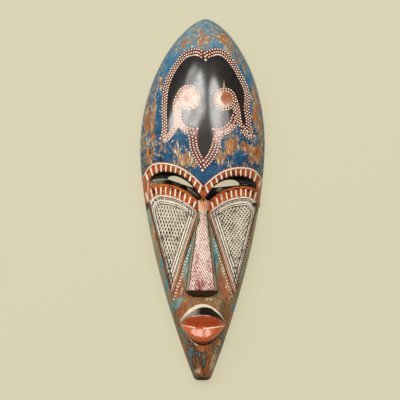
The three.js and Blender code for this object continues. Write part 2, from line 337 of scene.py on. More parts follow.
def panel_z(x, y):
    out = off_middle(x) - PANEL_INNER[0]
    return PANEL_Z - PANEL_FALL_OUT * out + PANEL_FALL_DOWN * (y - PANEL_INNER[1])


def panel_outer(y):
    return line_at(PANEL_TIP, PANEL_OUTER, y)


def valley_half(y):
    up = np.clip((y - PANEL_INNER[1]) / BRIDGE_RISE, 0, 1)
    bridge = mix(PANEL_INNER[0], BRIDGE_HALF_WIDTH, up)
    return np.where(y <= PANEL_INNER[1], line_at(PANEL_INNER, PANEL_TIP, y), bridge)


def nose_centre(y):
    return mix(NOSE_FOOT_X, NOSE_TOP_X, (y - NOSE[0][0]) / (NOSE[-1][0] - NOSE[0][0]))


def nose_section(y):
    """Half-width of the front, half-width at the foot and height of the nose at y."""
    places, front, foot, height = np.array(NOSE, float).T
    return np.interp(y, places, front), np.interp(y, places, foot), np.interp(y, places, height)


def mouth_place(x, y):
    """Share of the way between the mouth's corners, and the rise over the line between them."""
    t = np.clip((x - MOUTH_LEFT[0]) / (MOUTH_RIGHT[0] - MOUTH_LEFT[0]), MOUTH_END, 1 - MOUTH_END)
    off = y - mix(MOUTH_LEFT[1], MOUTH_RIGHT[1], t)
    return t, off / np.sin(math.pi * t) ** np.where(off > 0, UPPER_ARCH_POWER, LOWER_ARCH_POWER)


def cut_eyes(z, x, y, a):
    """Brow band, socket and lid, cut into the height z."""
    top = brow_top(x) - BEAD_WIDTH / 2
    foot = brow_foot(x)
    lowest = dome(x, foot) - BROW_UNDERCUT * ramp(a, BAND_TO, SOCKET_TO)
    brow = mix(lowest, dome(x, top) - BROW_STEP, ramp(y, foot, top))
    ribs = between_ribs(rib_run(x, y, brow_top, brow_foot), *BROW_RIBS)
    brow = brow - NOTCH_DEPTH * ribs * np.clip((top - BROW_RIB_TOP_GAP - y) / BROW_RIB_TOP_FADE, 0, 1)
    z = np.where((y > foot) & (y < top) & (a < BAND_TO), np.minimum(z, brow), z)

    drop = ramp(y, foot, lid_top(x))
    floor = socket_z(x)
    upper = mix(floor, floor + SOCKET_DISH, drop / SOCKET_BEND)
    lower = mix(floor + SOCKET_DISH, lid_top_z(x), (drop - SOCKET_BEND) / (1 - SOCKET_BEND))
    socket = np.where(drop < SOCKET_BEND, upper, lower)
    in_socket = (y <= foot) & (y > lid_top(x)) & (a > BAND_FROM) & (a < SOCKET_TO)
    z = np.where(in_socket, np.minimum(z, socket), z)

    share = ramp(y, lid_top(x), lid_foot(x))
    ribs = between_ribs(rib_run(x, y, lid_top, lid_foot), *LID_RIBS)
    (first, rise), (last, fall) = LID_NOTCH_TOP, LID_NOTCH_FOOT
    fade = np.clip((share - first) / rise, 0, 1) * np.clip((last - share) / fall, 0, 1)
    lid = mix(lid_top_z(x), lid_foot_z(x), share) - NOTCH_DEPTH * ribs * fade
    in_lid = (y <= lid_top(x)) & (y > lid_foot(x)) & (a > BAND_FROM) & (a < BAND_TO)
    return np.where(in_lid, np.minimum(z, lid), z)


def cut_cheeks(z, x, y, a):
    """Cheek panels with their raised rims, and the valley between them."""
    inner = line_at(PANEL_INNER, PANEL_TIP, y)
    outer = panel_outer(y)
    across = (a > inner - PANEL_OVERCUT) & (a > PANEL_INNER[0]) & (a < outer) & (a < BAND_TO)
    on_panel = (y <= lid_foot(x)) & (y > PANEL_TIP[1]) & across
    z = np.where(on_panel, np.minimum(z, panel_z(x, y)), z)

    wide = valley_half(y)
    bevel = np.where(y <= PANEL_INNER[1], PANEL_BEVEL, BRIDGE_BEVEL)
    slope = np.maximum(panel_z(MIDDLE_X + wide, y) - valley_floor(y), 1) / bevel
    cut = valley_floor(y) + slope * np.clip(a - (wide - bevel), 0, None)
    in_valley = (y > VALLEY[0][0]) & (y < VALLEY[-1][0]) & (a < wide + VALLEY_FLARE)
    z = np.where(in_valley, np.minimum(z, cut), z)

    off = (lid_foot(x) - y) / PANEL_RIM_WIDTH
    rim = panel_z(x, y) + PANEL_RIM_HEIGHT * np.clip(PANEL_RIM_STEEPNESS * np.minimum(off, 1 - off), 0, 1)
    in_rim = (off > 0) & (off < 1) & (a > PANEL_INNER[0]) & (a < PANEL_RIM_TO)
    return np.where(in_rim, np.maximum(z, rim), z)


def add_nose(z, x, y):
    front, foot, height = nose_section(y)
    off = abs(x - nose_centre(y))
    root = np.minimum(valley_floor(y), height) - NOSE_SUNK
    top = height + NOSE_ROUND * (1 - off / front)
    side = mix(height, root, (off - front) / (foot - front))
    nose = np.where(off < front, top, side)
    on_nose = (y >= NOSE[0][0]) & (y <= NOSE[-1][0]) & (off < foot)
    return np.where(on_nose, np.maximum(z, nose), z)


def add_mouth(z, x, y):
    t, rise = mouth_place(x, y)
    swell = np.sin(math.pi * t) ** LIP_SWELL_POWER
    flatter = mix(dome(x, y), dome(x / 2, y), LIP_FLATNESS * swell)
    lips = flatter + mix(MOUTH_CORNER_LIFT, mouth_lift(rise), swell)
    in_mouth = (rise > LOWER_LIP_FOOT) & (rise < HOOD) & (t > MOUTH_CUT_END) & (t < 1 - MOUTH_CUT_END)
    return np.where(in_mouth, np.maximum(z, lips), z)


def add_bead(z, x, y, a):
    lift = np.interp((y - brow_top(x)) / BEAD_WIDTH, BEAD_EDGES, BEAD_LIFTS)
    bead = dome(x, y) + mix(-BROW_STEP, BEAD_HEIGHT, (lift + 1) / 2)
    on_bead = (abs(y - brow_top(x)) < BEAD_WIDTH / 2) & (a < BAND_TO)
    return np.where(on_bead, np.maximum(z, bead), z)


def height(x, y):
    """Height of the carved front over the plane of the rim."""
    a = off_middle(x)
    z = cut_eyes(dome(x, y), x, y, a)
    z = cut_cheeks(z, x, y, a)
    z = add_nose(z, x, y)
    z = add_mouth(z, x, y)
    return add_bead(z, x, y, a)


def level(y):
    return lambda x: np.full_like(x, float(y))


def beside(line, off):
    return lambda x: line(x) + off


# Strips of rows from the chin to the crown: two lines across the face, and the rows between them
STRIPS = (
    (level(CHIN_Y), level(-185), 22),
    (level(-185), level(-118), 70),
    (level(-118), beside(lid_foot, -STEP_GAP), 120),
    (beside(lid_foot, -STEP_GAP), beside(lid_foot, STEP_GAP), 1),
    (beside(lid_foot, STEP_GAP), lid_top, 20),
    (lid_top, beside(brow_foot, -STEP_GAP), 10),
    (beside(brow_foot, -STEP_GAP), beside(brow_foot, STEP_GAP), 6),
    (beside(brow_foot, STEP_GAP), beside(brow_top, -BEAD_WIDTH / 2), 17),
    (beside(brow_top, -BEAD_WIDTH / 2), beside(brow_top, BEAD_WIDTH / 2), 7),
    (beside(brow_top, BEAD_WIDTH / 2), level(75), 20),
    (level(75), level(CROWN_Y), 66),
)
WALL_STRIP = 6
CROWN_EASE = 1.35


def row_shares():
    """For each row, its strip and its share of the way across it."""
    rows = [(0, 0.0)]
    for strip, (_, _, count) in enumerate(STRIPS):
        steps = np.arange(1, count + 1) / count
        if strip == len(STRIPS) - 1:
            steps = 1 - (1 - steps) ** CROWN_EASE
        rows += [(strip, step) for step in steps]
    strips, shares = np.array(rows).T
    return strips.astype(int), shares


def row_heights(x, strips, shares):
    """y of every row at the places x, which has a line for each row."""
    y = np.empty_like(x)
    for strip, (low, high, _) in enumerate(STRIPS):
        here = strips == strip
        y[here] = mix(low(x[here]), high(x[here]), shares[here, None])
    return y


def column_shares(y):
    """Share of the half-width at which each column lies at y, so that columns are even along a section."""
    half = FRONT_COLUMNS // 2
    places = np.linspace(CHIN_Y, CROWN_Y - SECTION_TOP_GAP, SECTIONS)
    fine = 1 - (1 - np.linspace(0, 1, SECTION_STEPS)) ** SECTION_CROWDING
    table = []
    for place in places:
        power = squareness(place)
        across = fine * half_width(place)
        up = crest(place) * (1 - fine**power) ** (1 / power)
        length = np.concatenate(([0], np.cumsum(np.hypot(np.diff(across), np.diff(up)))))
        table.append(np.interp(np.linspace(0, length[-1], half + 1), length, fine))
    table = np.array(table)
    at = np.clip((y - places[0]) / (places[1] - places[0]), 0, len(places) - 1.001)
    column = np.arange(-half, half + 1)
    lower = at.astype(int)
    share = mix(table[lower, abs(column)], table[lower + 1, abs(column)], at - lower)
    return np.sign(column) * share


def follow(x, y, line, low, high, gap=0.0):
    """Brings the nearest column of each row onto a line, or the two beside it to just off the line."""
    target = line(y)
    rows = np.arange(len(x))
    ahead = np.clip((x < target).sum(axis=1), 2, x.shape[1] - 3)
    if gap:
        moves = ((ahead - 1, -gap), (ahead, gap))
    else:
        nearer = abs(x - target)[rows, ahead - 1] < abs(x - target)[rows, ahead]
        moves = ((np.where(nearer, ahead - 1, ahead), 0),)
    for column, off in moves:
        here = (y[rows, column] > low) & (y[rows, column] < high)
        x[rows[here], column[here]] = target[rows[here], column[here]] + off


# Edges that run up and down the face: their distance from the middle at y, the y between which they run,
# and the gap between the two columns beside a steep one
UPRIGHT_EDGES = (
    (valley_half, PANEL_TIP[1], PANEL_INNER[1], 0),
    (lambda y: valley_half(y) - PANEL_BEVEL, PANEL_TIP[1], -40, 0),
    (panel_outer, -109, -9, STEP_GAP),
    (lambda y: np.full_like(y, BAND_TO), -9, 36, STEP_GAP),
    (lambda y: np.full_like(y, SOCKET_TO), 2, 24, STEP_GAP),
)
RIB_EDGE_OVERRUN = (-3, 2)


def follow_edges(x, y):
    """Puts columns on the edges of the carving that run up and down the face."""
    for side in SIDES:
        for edge in range(2):
            follow(x, y, lambda y: nose_centre(y) + side * nose_section(y)[edge], NOSE[0][0], NOSE[-1][0])
        for line, low, high, gap in UPRIGHT_EDGES:
            follow(x, y, lambda y: MIDDLE_X + side * line(y), low, high, gap)
        for (first, last), top, foot in ((BROW_RIBS, brow_top, brow_foot), (LID_RIBS, lid_top, lid_foot)):
            for rib in np.arange(first, last, RIB_PITCH):
                for edge in (rib - RIB_WIDTH / 2, rib + RIB_WIDTH / 2):
                    at = MIDDLE_X + side * edge
                    low, high = foot(at) + RIB_EDGE_OVERRUN[0], top(at) + RIB_EDGE_OVERRUN[1]
                    follow(x, y, rib_line(edge, side, top, foot), low, high)


def front_grid():
    """Places of the front's rows and columns, from the left of the rim over the face to the right."""
    strips, shares = row_shares()
    x = np.zeros((len(strips), FRONT_COLUMNS + 1))
    y = row_heights(x, strips, shares)
    for _ in range(GRID_ROUNDS):
        x = middle(y) + half_width(y) * column_shares(y)
        y = row_heights(x, strips, shares)
    follow_edges(x, y)
    y = row_heights(x, strips, shares)
    z = height(x, y)
    on_wall = (strips == WALL_STRIP) & (shares < 1)
    foot = brow_foot(x[on_wall])
    under = height(x[on_wall], foot - STEP_GAP)
    over = height(x[on_wall], foot + STEP_GAP)
    z[on_wall] = mix(under, over, shares[on_wall, None])
    z[:, (0, -1)] = 0
    return np.stack((x, y, z), axis=-1)


def back_grid(left, right):
    """Places of the back, from the right side of the rim through the hollow to the left."""
    turn = math.pi * (np.arange(1, BACK_COLUMNS) - 1) / (BACK_COLUMNS - 2)
    power = 2 / HOLLOW_SQUARENESS
    across = np.sign(np.cos(turn)) * abs(np.cos(turn)) ** power
    up = np.clip(np.sin(turn), 0, 1) ** power
    y = mix(right[:, None, 1], left[:, None, 1], (1 - across) / 2)
    centre = (HOLLOW_CROWN_Y + HOLLOW_CHIN_Y) / 2
    reach = (HOLLOW_CROWN_Y - HOLLOW_CHIN_Y) / 2
    end = np.sqrt(1 - np.clip(abs((y - centre) / reach), 0, 1) ** HOLLOW_END_POWER)
    rim = np.maximum(half_width(y) - RIM_WIDTH, half_width(y) / 2)
    wide = rim * np.maximum(end, HOLLOW_TIP)
    return np.stack((middle(y) + wide * across, y, ceiling(y) * end * up), axis=-1)


def only(thing):
    """Deselects everything, then selects and activates one object."""
    bpy.ops.object.select_all(action="DESELECT")
    thing.select_set(True)
    bpy.context.view_layer.objects.active = thing


def edit(thing):
    only(thing)
    bpy.ops.object.mode_set(mode="EDIT")
    bpy.ops.mesh.select_all(action="SELECT")


def done():
    bpy.ops.object.mode_set(mode="OBJECT")


def read_places(mesh):
    flat = np.empty(len(mesh.vertices) * 3)
    mesh.vertices.foreach_get("co", flat)
    return flat.reshape(-1, 3)


def write_places(mesh, places):
    mesh.vertices.foreach_set("co", places.ravel())
    mesh.update()


FRONT, BACK, SLIT_WALL = range(3)


def carve_block():
    """One fine sheet of squares, folded round the mask from the rim over the face and through the hollow."""
    front = front_grid()
    back = back_grid(front[:, 0], front[:, -1])
    rows, columns = len(front) - 1, FRONT_COLUMNS + BACK_COLUMNS
    bpy.ops.object.select_all(action="DESELECT")
    bpy.ops.mesh.primitive_grid_add(x_subdivisions=columns, y_subdivisions=rows, size=2)
    mask = bpy.context.object
    mask.name = "carved_mask"
    mesh = mask.data
    flat = read_places(mesh)
    column = np.rint((flat[:, 0] + 1) / 2 * columns).astype(int)
    row = np.rint((flat[:, 1] + 1) / 2 * rows).astype(int)
    sides = np.empty(len(mesh.polygons) * 3)
    mesh.polygons.foreach_get("center", sides)
    is_front = (sides.reshape(-1, 3)[:, 0] + 1) / 2 * columns < FRONT_COLUMNS
    mesh.polygons.foreach_set("material_index", np.where(is_front, FRONT, BACK).astype(np.int32))
    sheet = np.concatenate((front, back, front[:, :1]), axis=1)
    write_places(mesh, sheet[row, column] * MM)
    edit(mask)
    bpy.ops.mesh.remove_doubles(threshold=WELD * MM)
    bpy.ops.mesh.fill_holes(sides=0)
    bpy.ops.mesh.normals_make_consistent(inside=False)
    done()
    return mask


def leaf(t):
    return t**SLIT_INNER_POWER * (1 - t) ** SLIT_OUTER_POWER


def cut_slit(mask, inner, outer, rise):
    """Cuts an eye slit through the wood with a leaf-shaped punch."""
    bpy.ops.object.select_all(action="DESELECT")
    bpy.ops.mesh.primitive_circle_add(vertices=SLIT_CORNERS, radius=1, fill_type="NGON")
    punch = bpy.context.object
    turn = 2 * math.pi * np.arange(SLIT_CORNERS) / SLIT_CORNERS
    t = mix(*SLIT_SHARES, (1 - np.cos(turn)) / 2)
    full = leaf(SLIT_INNER_POWER / (SLIT_INNER_POWER + SLIT_OUTER_POWER))
    up = np.where(turn < math.pi, rise * leaf(t) / full, 0)
    x, y = mix(inner[0], outer[0], t), mix(inner[1], outer[1], t) + up
    write_places(punch.data, np.stack((x, y, np.full_like(t, PUNCH_FROM)), axis=-1) * MM)
    edit(punch)
    bpy.ops.mesh.extrude_region_move(TRANSFORM_OT_translate={"value": (0, 0, PUNCH_LENGTH * MM)})
    bpy.ops.mesh.select_all(action="SELECT")
    bpy.ops.mesh.normals_make_consistent(inside=False)
    done()
    punch.data.materials.append(mask.data.materials[SLIT_WALL])
    only(mask)
    cut = mask.modifiers.new("slit", "BOOLEAN")
    cut.operation = "DIFFERENCE"
    cut.solver = "MANIFOLD"
    cut.object = punch
    cut.material_mode = "TRANSFER"
    bpy.ops.object.modifier_apply(modifier=cut.name)
    bpy.data.objects.remove(punch)


def linear(hex_colour):
    """An sRGB hex colour as the linear colour that a shader takes."""
    parts = [int(hex_colour[i : i + 2], 16) / 255 for i in (1, 3, 5)]
    return (*(c / 12.92 if c <= 0.04045 else ((c + 0.055) / 1.055) ** 2.4 for c in parts), 1.0)


# Forehead ornament: its outline from the notch at the top round by the left
OUTLINE = (
    (2.9, 184.6), (-5.4, 188.7), (-15.5, 187), (-25.8, 180.9), (-40.1, 160.7), (-48.5, 139.1),
    (-50.9, 111.6), (-50.3, 89.7), (-52.8, 74.7), (-46.1, 70.2), (-39, 76.2), (-29.4, 89.9), (-23.4, 84.6),
    (-18.6, 80.9), (-17.4, 74.9), (-16.3, 65.4), (-12.6, 54.7), (-6.6, 43.9), (0.1, 35.6), (8.9, 42.7),
    (16.1, 52.3), (20.9, 63.1), (23.3, 72.6), (26.3, 78.6), (32.9, 82.2), (38.8, 86.9), (44.8, 92.9),
    (47.1, 86.9), (52, 79.8), (58, 75.6), (65.1, 77.9), (61.5, 89.3), (60.4, 101.3), (58.5, 113.3),
    (59.1, 125.2), (58, 137.2), (50.8, 153.4), (41.3, 170.2), (29.3, 184.6), (17.3, 188.7),
)
OUTLINE_CORNERS = (
    (2.9, 184.6), (-52.8, 74.7), (-29.4, 89.9), (-18.6, 80.9), (0.1, 35.6), (44.8, 92.9), (65.1, 77.9),
)
# Dotted bands inside it, as a line and half the band's width
INNER_BANDS = (
    (((-29.4, 86), (-30.2, 98), (-31.4, 110), (-31.5, 120), (-27, 131)), 5.2),
    (((45.5, 90), (43.6, 104), (42.3, 112), (40.5, 120), (37, 130)), 4.6),
)
# Rings and the spots in them: centre, half-width and half-height
RINGS = (((-17.2, 126.9), (15.2, 16)), ((28, 124.7), (14.6, 14.6)))
SPOTS = (((-16.2, 127.6), (9.6, 9)), ((30.2, 126.2), (7.2, 8.6)))
# Drop over the right ring: its foot, its tip and its half-width, and the share of that at the tip
DROP = ((26.9, 139.5), (26.9, 148.5), 1.5)
DROP_TIP = 0.2
# Band inside the outline. It is wider over the notch at the top, by a share that falls off on both sides
# of x and grows between two y, and in the tongue between the lobes.
BAND_WIDTH = 6.8
TOP_WIDENING = 0.62
TOP_BAND = (3, 24, 165, 180)
TONGUE_BAND_WIDTH = 11
TONGUE_SIDES = (-22, 27)
TONGUE_FROM = 92
TONGUE_FULL = 80
# Lower edges of the black field's two lobes, left and right of the tongue
LOBE_FEET = (
    ((-26, 98), (-22.5, 93.5), (-17, 90), (-12, 89.2), (-5.6, 89.2)),
    ((13.2, 88.5), (19, 88.5), (25, 90), (30, 93.5), (34, 98), (37.5, 107)),
)
LOBES = (-28, 39)
CURVE_STEPS = 8

# Paint dots. The rows of a band lie at these shares of its width, and every other row is staggered.
DOT_PITCH = 3.55
DOT_DIAMETER = 2.1
DOT_ROWS = (0.14, 0.5, 0.86)
DOT_CLEARANCE = 1.18
RING_ROWS = (1.2, 4)
RING_PITCH = 3.3
RING_WIDTH = 5.3
LARGE_DOTS = (
    (0.1, 36.4, 3.4), (2, 43.2, 2.8), (1.4, 48.6, 2.6), (4.1, 173.6, 3), (3.6, 178, 2.4), (3, 182.2, 2.4),
    (-6, 88, 3), (13.4, 87.5, 3), (-52.2, 76, 3), (64.4, 78.8, 3),
)
# Rows of small dots on the lower face: side, first and last y, pitch, diameter and distance from a line
VALLEY_DOTS = ((-1, -50, -126, 3.9, 2, 6.5), (1, -50, -122, 3.9, 2, 6.5))
EDGE_DOTS = ((1, -48, -104, 3.2, 1.4, -1.5),)
# Each dot is a flattened ball, cut off a little below its middle
DOT_SEGMENTS = 8
DOT_RINGS = 6
DOT_RISE = 0.5
DOT_SUNK = 0.1
# Step over which the slope under a dot is read, in millimetres
DOT_FOOT = 0.2
# Distance of the outer dots from their band's edge, and between the rows of an inner band
DOT_INSET = 1.1
BAND_DOT_ROWS = 1.3
# How far a dot may lie off its depth, and how far it keeps from inner bands, rings and the outline
DOT_OFF_DEPTH = 0.5
DOT_OFF_BANDS = 0.4
DOT_OFF_RINGS = 0.2
DOT_OFF_OUTLINE = 0.8


def curve_through(points, corners=(), closed=False):
    """A polyline of short steps on a smooth curve through points, with sharp corners at some of them."""
    places = np.array(points, float)
    count = len(places)
    line = []
    for i in range(count if closed else count - 1):
        start, end = places[i], places[(i + 1) % count]
        before = start if tuple(points[i]) in corners or (i == 0 and not closed) else places[i - 1]
        last = tuple(points[(i + 1) % count]) in corners or (i == count - 2 and not closed)
        after = end if last else places[(i + 2) % count]
        for t in np.arange(CURVE_STEPS) / CURVE_STEPS:
            leave, arrive = (end - before) / 2, (after - start) / 2
            line.append(
                (1 + 2 * t) * (1 - t) ** 2 * start + t * (1 - t) ** 2 * leave
                + t * t * (3 - 2 * t) * end - t * t * (1 - t) * arrive
            )
    line.append(places[0] if closed else places[-1])
    return np.array(line)


def distance_to(points, line):
    """Distance of each point from a polyline."""
    nearest = np.full(len(points), np.inf)
    for start, end in zip(line[:-1], line[1:]):
        way = end - start
        length = way @ way
        if length == 0:
            continue
        t = np.clip((points - start) @ way / length, 0, 1)
        gap = points - start - t[:, None] * way
        nearest = np.minimum(nearest, np.hypot(gap[:, 0], gap[:, 1]))
    return nearest


def is_inside(points, line):
    """Whether each point lies inside a closed polyline."""
    inside = np.zeros(len(points), bool)
    x, y = points.T
    for (x0, y0), (x1, y1) in zip(line[:-1], line[1:]):
        if y0 != y1:
            crosses = (y0 > y) != (y1 > y)
            inside ^= crosses & (x < x0 + (x1 - x0) * (y - y0) / (y1 - y0))
    return inside


outline_curve = curve_through(OUTLINE, OUTLINE_CORNERS, closed=True)
band_curves = [(curve_through(points), half) for points, half in INNER_BANDS]


def in_outline(points):
    """How far inside the ornament's outline each point lies, and less than 0 outside it."""
    gap = distance_to(points, outline_curve)
    return np.where(is_inside(points, outline_curve), gap, -gap)


def band_width(points):
    """Width of the band inside the outline."""
    x, y = points.T
    in_tongue = (x > TONGUE_SIDES[0]) & (x < TONGUE_SIDES[1])
    tongue = np.where(in_tongue, ramp(y, TONGUE_FROM, TONGUE_FULL), 0)
    notch, reach, low, high = TOP_BAND
    top = np.exp(-(((x - notch) / reach) ** 2)) * ramp(y, low, high)
    return mix(BAND_WIDTH * (1 + TOP_WIDENING * top), TONGUE_BAND_WIDTH, tongue)


def off_oval(points, centre, reach):
    """About how far outside an oval each point lies."""
    return (np.hypot(*((points - centre) / reach).T) - 1) * sum(reach) / 2


def off_bands(points):
    """Distance of each point from the inner bands and rings, less than 0 on them."""
    gaps = [distance_to(points, curve) - half for curve, half in band_curves]
    gaps += [off_oval(points, *ring) for ring in RINGS]
    return np.min(gaps, axis=0)


def in_black(points):
    """How far inside the ornament's black field each point lies."""
    x, y = points.T
    feet = np.concatenate(LOBE_FEET)
    tongue = np.minimum(x - LOBE_FEET[0][-1][0], LOBE_FEET[1][0][0] - x)
    over_feet = np.maximum(y - np.interp(x, *feet.T), tongue)
    over_feet = np.where((x > LOBES[0]) & (x < LOBES[1]), over_feet, np.inf)
    return np.min((in_outline(points) - band_width(points), off_bands(points), over_feet), axis=0)


def in_drop(points):
    """How far inside the drop each point lies."""
    foot, tip, half = DROP
    slimmer = np.clip((tip[1] - points[:, 1]) / (tip[1] - foot[1]), DROP_TIP, 1)
    return half * slimmer - distance_to(points, np.array((foot, tip)))


def spaced(line, pitch):
    """Places an even pitch apart along a polyline."""
    steps = np.diff(line, axis=0)
    length = np.concatenate(([0], np.cumsum(np.hypot(*steps.T))))
    at = np.arange(0, length[-1], pitch)
    return np.stack([np.interp(at, length, line[:, i]) for i in range(2)], axis=-1)


def beside_line(line, off):
    """A polyline moved sideways to its left."""
    way = np.gradient(line, axis=0)
    way /= np.maximum(np.hypot(*way.T), 1e-9)[:, None]
    return line + off * np.stack((-way[:, 1], way[:, 0]), axis=-1)


def dot_places():
    """x, y and diameter of every paint dot."""
    dots = [np.array(LARGE_DOTS, float)]

    def lay(places, keep=slice(None)):
        kept = places[keep]
        clear = np.ones(len(kept), bool)
        for laid in dots:
            gap = np.hypot(*(kept[:, None] - laid[None, :, :2]).transpose(2, 0, 1))
            clear &= (gap > (DOT_DIAMETER + laid[:, 2]) / 2 * DOT_CLEARANCE).all(axis=1)
        kept = kept[clear]
        dots.append(np.column_stack((kept, np.full(len(kept), DOT_DIAMETER))))

    for foot in LOBE_FEET:
        lay(beside_line(spaced(np.array(foot, float), DOT_PITCH), -DOT_INSET))
    for row, share in enumerate(DOT_ROWS):
        start = spaced(outline_curve, DOT_PITCH / 2)[row % 2::2]
        depth = share * band_width(start)
        for _ in range(ROUNDS):
            places = beside_line(start, depth[:, None])
            depth = share * band_width(places)
        off = abs(in_outline(places) - depth)
        lay(places, (off < DOT_OFF_DEPTH) & (off_bands(places) > DOT_OFF_BANDS))
    for curve, half in band_curves:
        rows = round(half / BAND_DOT_ROWS)
        for row, off in enumerate(np.linspace(DOT_INSET - half, half - DOT_INSET, rows)):
            places = beside_line(spaced(curve, DOT_PITCH / 2)[row % 2::2], off)
            clear = [off_oval(places, *ring) > DOT_OFF_RINGS for ring in RINGS]
            lay(places, np.all(clear, axis=0) & (in_outline(places) > DOT_OFF_OUTLINE))
    for centre, reach in RINGS:
        for row, depth in enumerate(RING_ROWS):
            oval = np.array(reach) - depth
            count = round(math.pi * oval.sum() / RING_PITCH)
            turn = 2 * math.pi * (np.arange(count) + row / 2) / count
            lay(np.stack((np.cos(turn), np.sin(turn)), -1) * oval + centre)
    for rows, line in ((VALLEY_DOTS, valley_half), (EDGE_DOTS, panel_outer)):
        for side, first, last, pitch, wide, off in rows:
            y = np.arange(first, last, -pitch)
            x = MIDDLE_X + side * (line(y) - off)
            dots.append(np.column_stack((x, y, np.full(len(y), wide))))
    return np.concatenate(dots)


# Where the paint is rubbed through, and where it is left whole: x, y, half-width, half-height and strength
RUBBED = (
    (-7, 213, 8, 6, 0.6), (-3, 196, 5, 8, 0.7), (5, 200, 3, 9, 0.6), (-24, 193, 3, 8, 0.7),
    (22, 201, 6, 5, 0.9), (20, 211, 5, 6, 0.7), (29, 200, 3.5, 8, 0.9), (37, 189, 3.5, 9, 0.9),
    (45, 177, 3.5, 9, 0.9), (52, 166, 3, 8, 0.7), (-52, 146, 3, 10, 0.8), (-59, 120, 3, 18, 0.9),
    (-69, 104, 3.5, 16, 1), (-62, 92, 4, 12, 0.9), (-61, 74, 5, 6, 0.7), (-65, 59, 9, 6, 0.8),
    (-46, 62, 5, 5, 0.7), (-22, 53, 9, 6, 1), (-33, 61, 4, 6, 0.8), (-66, 49, 7, 5, 0.8),
    (-20, 45, 12, 3, 0.5), (-71, 92, 4, 22, 0.5), (65, 112, 4.5, 20, 1), (73, 88, 3.5, 18, 1),
    (70, 124, 3, 16, 0.7), (36, 72, 7, 7, 1), (35, 61, 5, 8, 0.9), (24, 56, 7, 7, 0.8), (43, 63, 5, 5, 0.7),
    (55, 66, 7, 6, 0.9), (63, 59, 9, 6, 1), (71, 55, 5, 12, 1), (62, 49, 8, 4, 0.7), (20, 48, 5, 4, 0.7),
    (-75, 75, 4, 20, 0.6), (64, 140, 3, 12, 0.6), (2, 26, 14, 12, -1), (-27, 78, 6, 7, -0.7),
    (-55, 108, 2.5, 25, -0.7), (47, 51, 6, 5, -0.8), (67, 41, 8, 4, -0.6), (2, 206, 10, 12, 0.1),
    (-15, 200, 6, 8, 0.35), (27, 208, 4, 6, 0.5), (-33, 184, 3, 5, 0.6), (33, 196, 5, 12, 0.4),
    (-40, 176, 7, 12, -0.6), (58, 154, 4, 13, -0.8), (-50, 50, 10, 5, -0.5), (10, 38, 8, 8, -0.6),
)

# Teal on the lower face, and brown where the strength is less than 0
TEAL = (
    (-69, -20, 3, 14, 1.1), (-51, -80, 3, 12, 0.9), (-45, -107, 4, 16, 1), (-39, -138, 4, 12, 1.2),
    (-31, -131, 4, 5, 1), (-27, -124, 4, 4, 0.8), (-29, -116, 6, 5, -0.8), (-28, -139, 5, 7, -0.7),
    (39.5, -137, 4, 10, 1.2), (29, -112, 6, 10, -0.6), (33, -150, 4, 10, -0.9), (49, -88, 3, 10, 1),
    (58, -66, 2.5, 12, 0.9), (68, -22, 3.5, 12, 1), (-26, -166, 3, 9, 0.9), (-20, -178, 3, 8, 0.8),
    (-14, -189, 4, 6, 0.8), (-5, -192, 5, 4, 0.7), (3, -197, 2.5, 10, 0.7), (19, -187, 4, 6, 0.8),
    (27, -171, 3, 5, 1.1), (-23, -184, 3, 6, -0.8), (-1, -186, 6, 4, -1), (-15, -208, 3, 12, 1),
    (9, -203, 4, 10, -0.9), (-10, -201, 4, 8, -0.4), (-66, -34, 2.5, 12, 0.8), (-60, -62, 2.5, 12, 0.5),
    (-56, -40, 2, 12, -0.6), (56, -45, 4, 18, -0.7), (-17, -66, 4, 20, 1.1), (-20, -90, 3, 10, 1),
    (16.5, -66, 4, 16, 1.1), (18, -84, 2.5, 8, 0.4), (-28, -104, 4, 10, -0.4), (26, -98, 4, 12, -0.4),
)

# Pale tan dragged over the lower face, and paler bare wood on the forehead
TAN = (
    (17, -200, 6, 16, 0.6), (-6, -214, 5, 5, 0.8), (10, -124, 7, 3, 1), (22, -178, 5, 6, 0.5),
    (-8, -120, 4, 4, 0.6), (-10, -38, 3, 18, 0.9), (11, -36, 2.5, 14, 0.7), (-61, -50, 3.5, 24, 0.9),
    (-66, -28, 2.5, 14, 0.5), (-71, 104, 4, 30, 0.8), (72, 100, 3, 30, 0.6), (24, 58, 7, 6, 0.9),
    (62, 66, 5, 5, 0.9), (32, 200, 2.5, 14, 0.9), (-13, 213, 5, 4, 0.9), (8, 207, 3, 3, 0.7),
    (-26, -150, 3, 6, 0.6), (34, -122, 3, 8, 0.5), (12, -210, 4, 8, 0.8), (-19, -50, 2, 10, 0.5),
    (27, -92, 2, 12, 0.5),
)

# Dark stains at the panels' outer corners, on the brows and in the lattice's tip
STAINS = (
    (-69, -8, 2.4, 6, 1.2), (-71, -3, 2, 4, 0.8), (64.5, -6, 2.8, 2.4, 1.2), (68, -10, 1.6, 7, 1.2),
    (-27, 33, 2.2, 4, 1.2), (-14, 29, 2.2, 4, 1.2), (-11, -8, 2.5, 4, 1), (66, 10, 2, 8, 0.6),
    (38, 33, 2.6, 3, 0.9), (29, 29, 2, 3, 0.7), (-42, -86, 1.3, 1.3, 1.2), (-42, -94, 1.4, 1.4, 1.2),
    (-42, -101, 1.4, 1.4, 1.2), (40, -85, 1.3, 1.6, 1.2), (40, -92, 1.3, 1.3, 1.2), (56, -25, 1.4, 1.4, 1),
    (-58, -1, 4, 2, 0.7), (0.8, 15, 1.6, 4, 1),
)

# Grey paint dragged along the lids, inside the sockets
DUST = (
    (-57, 22, 13, 7, 1), (-12, 12, 8, 8, 1), (21, 14, 10, 5, 1), (50, 20, 8, 5, 0.45), (-30, 21, 8, 5, 0.5),
)

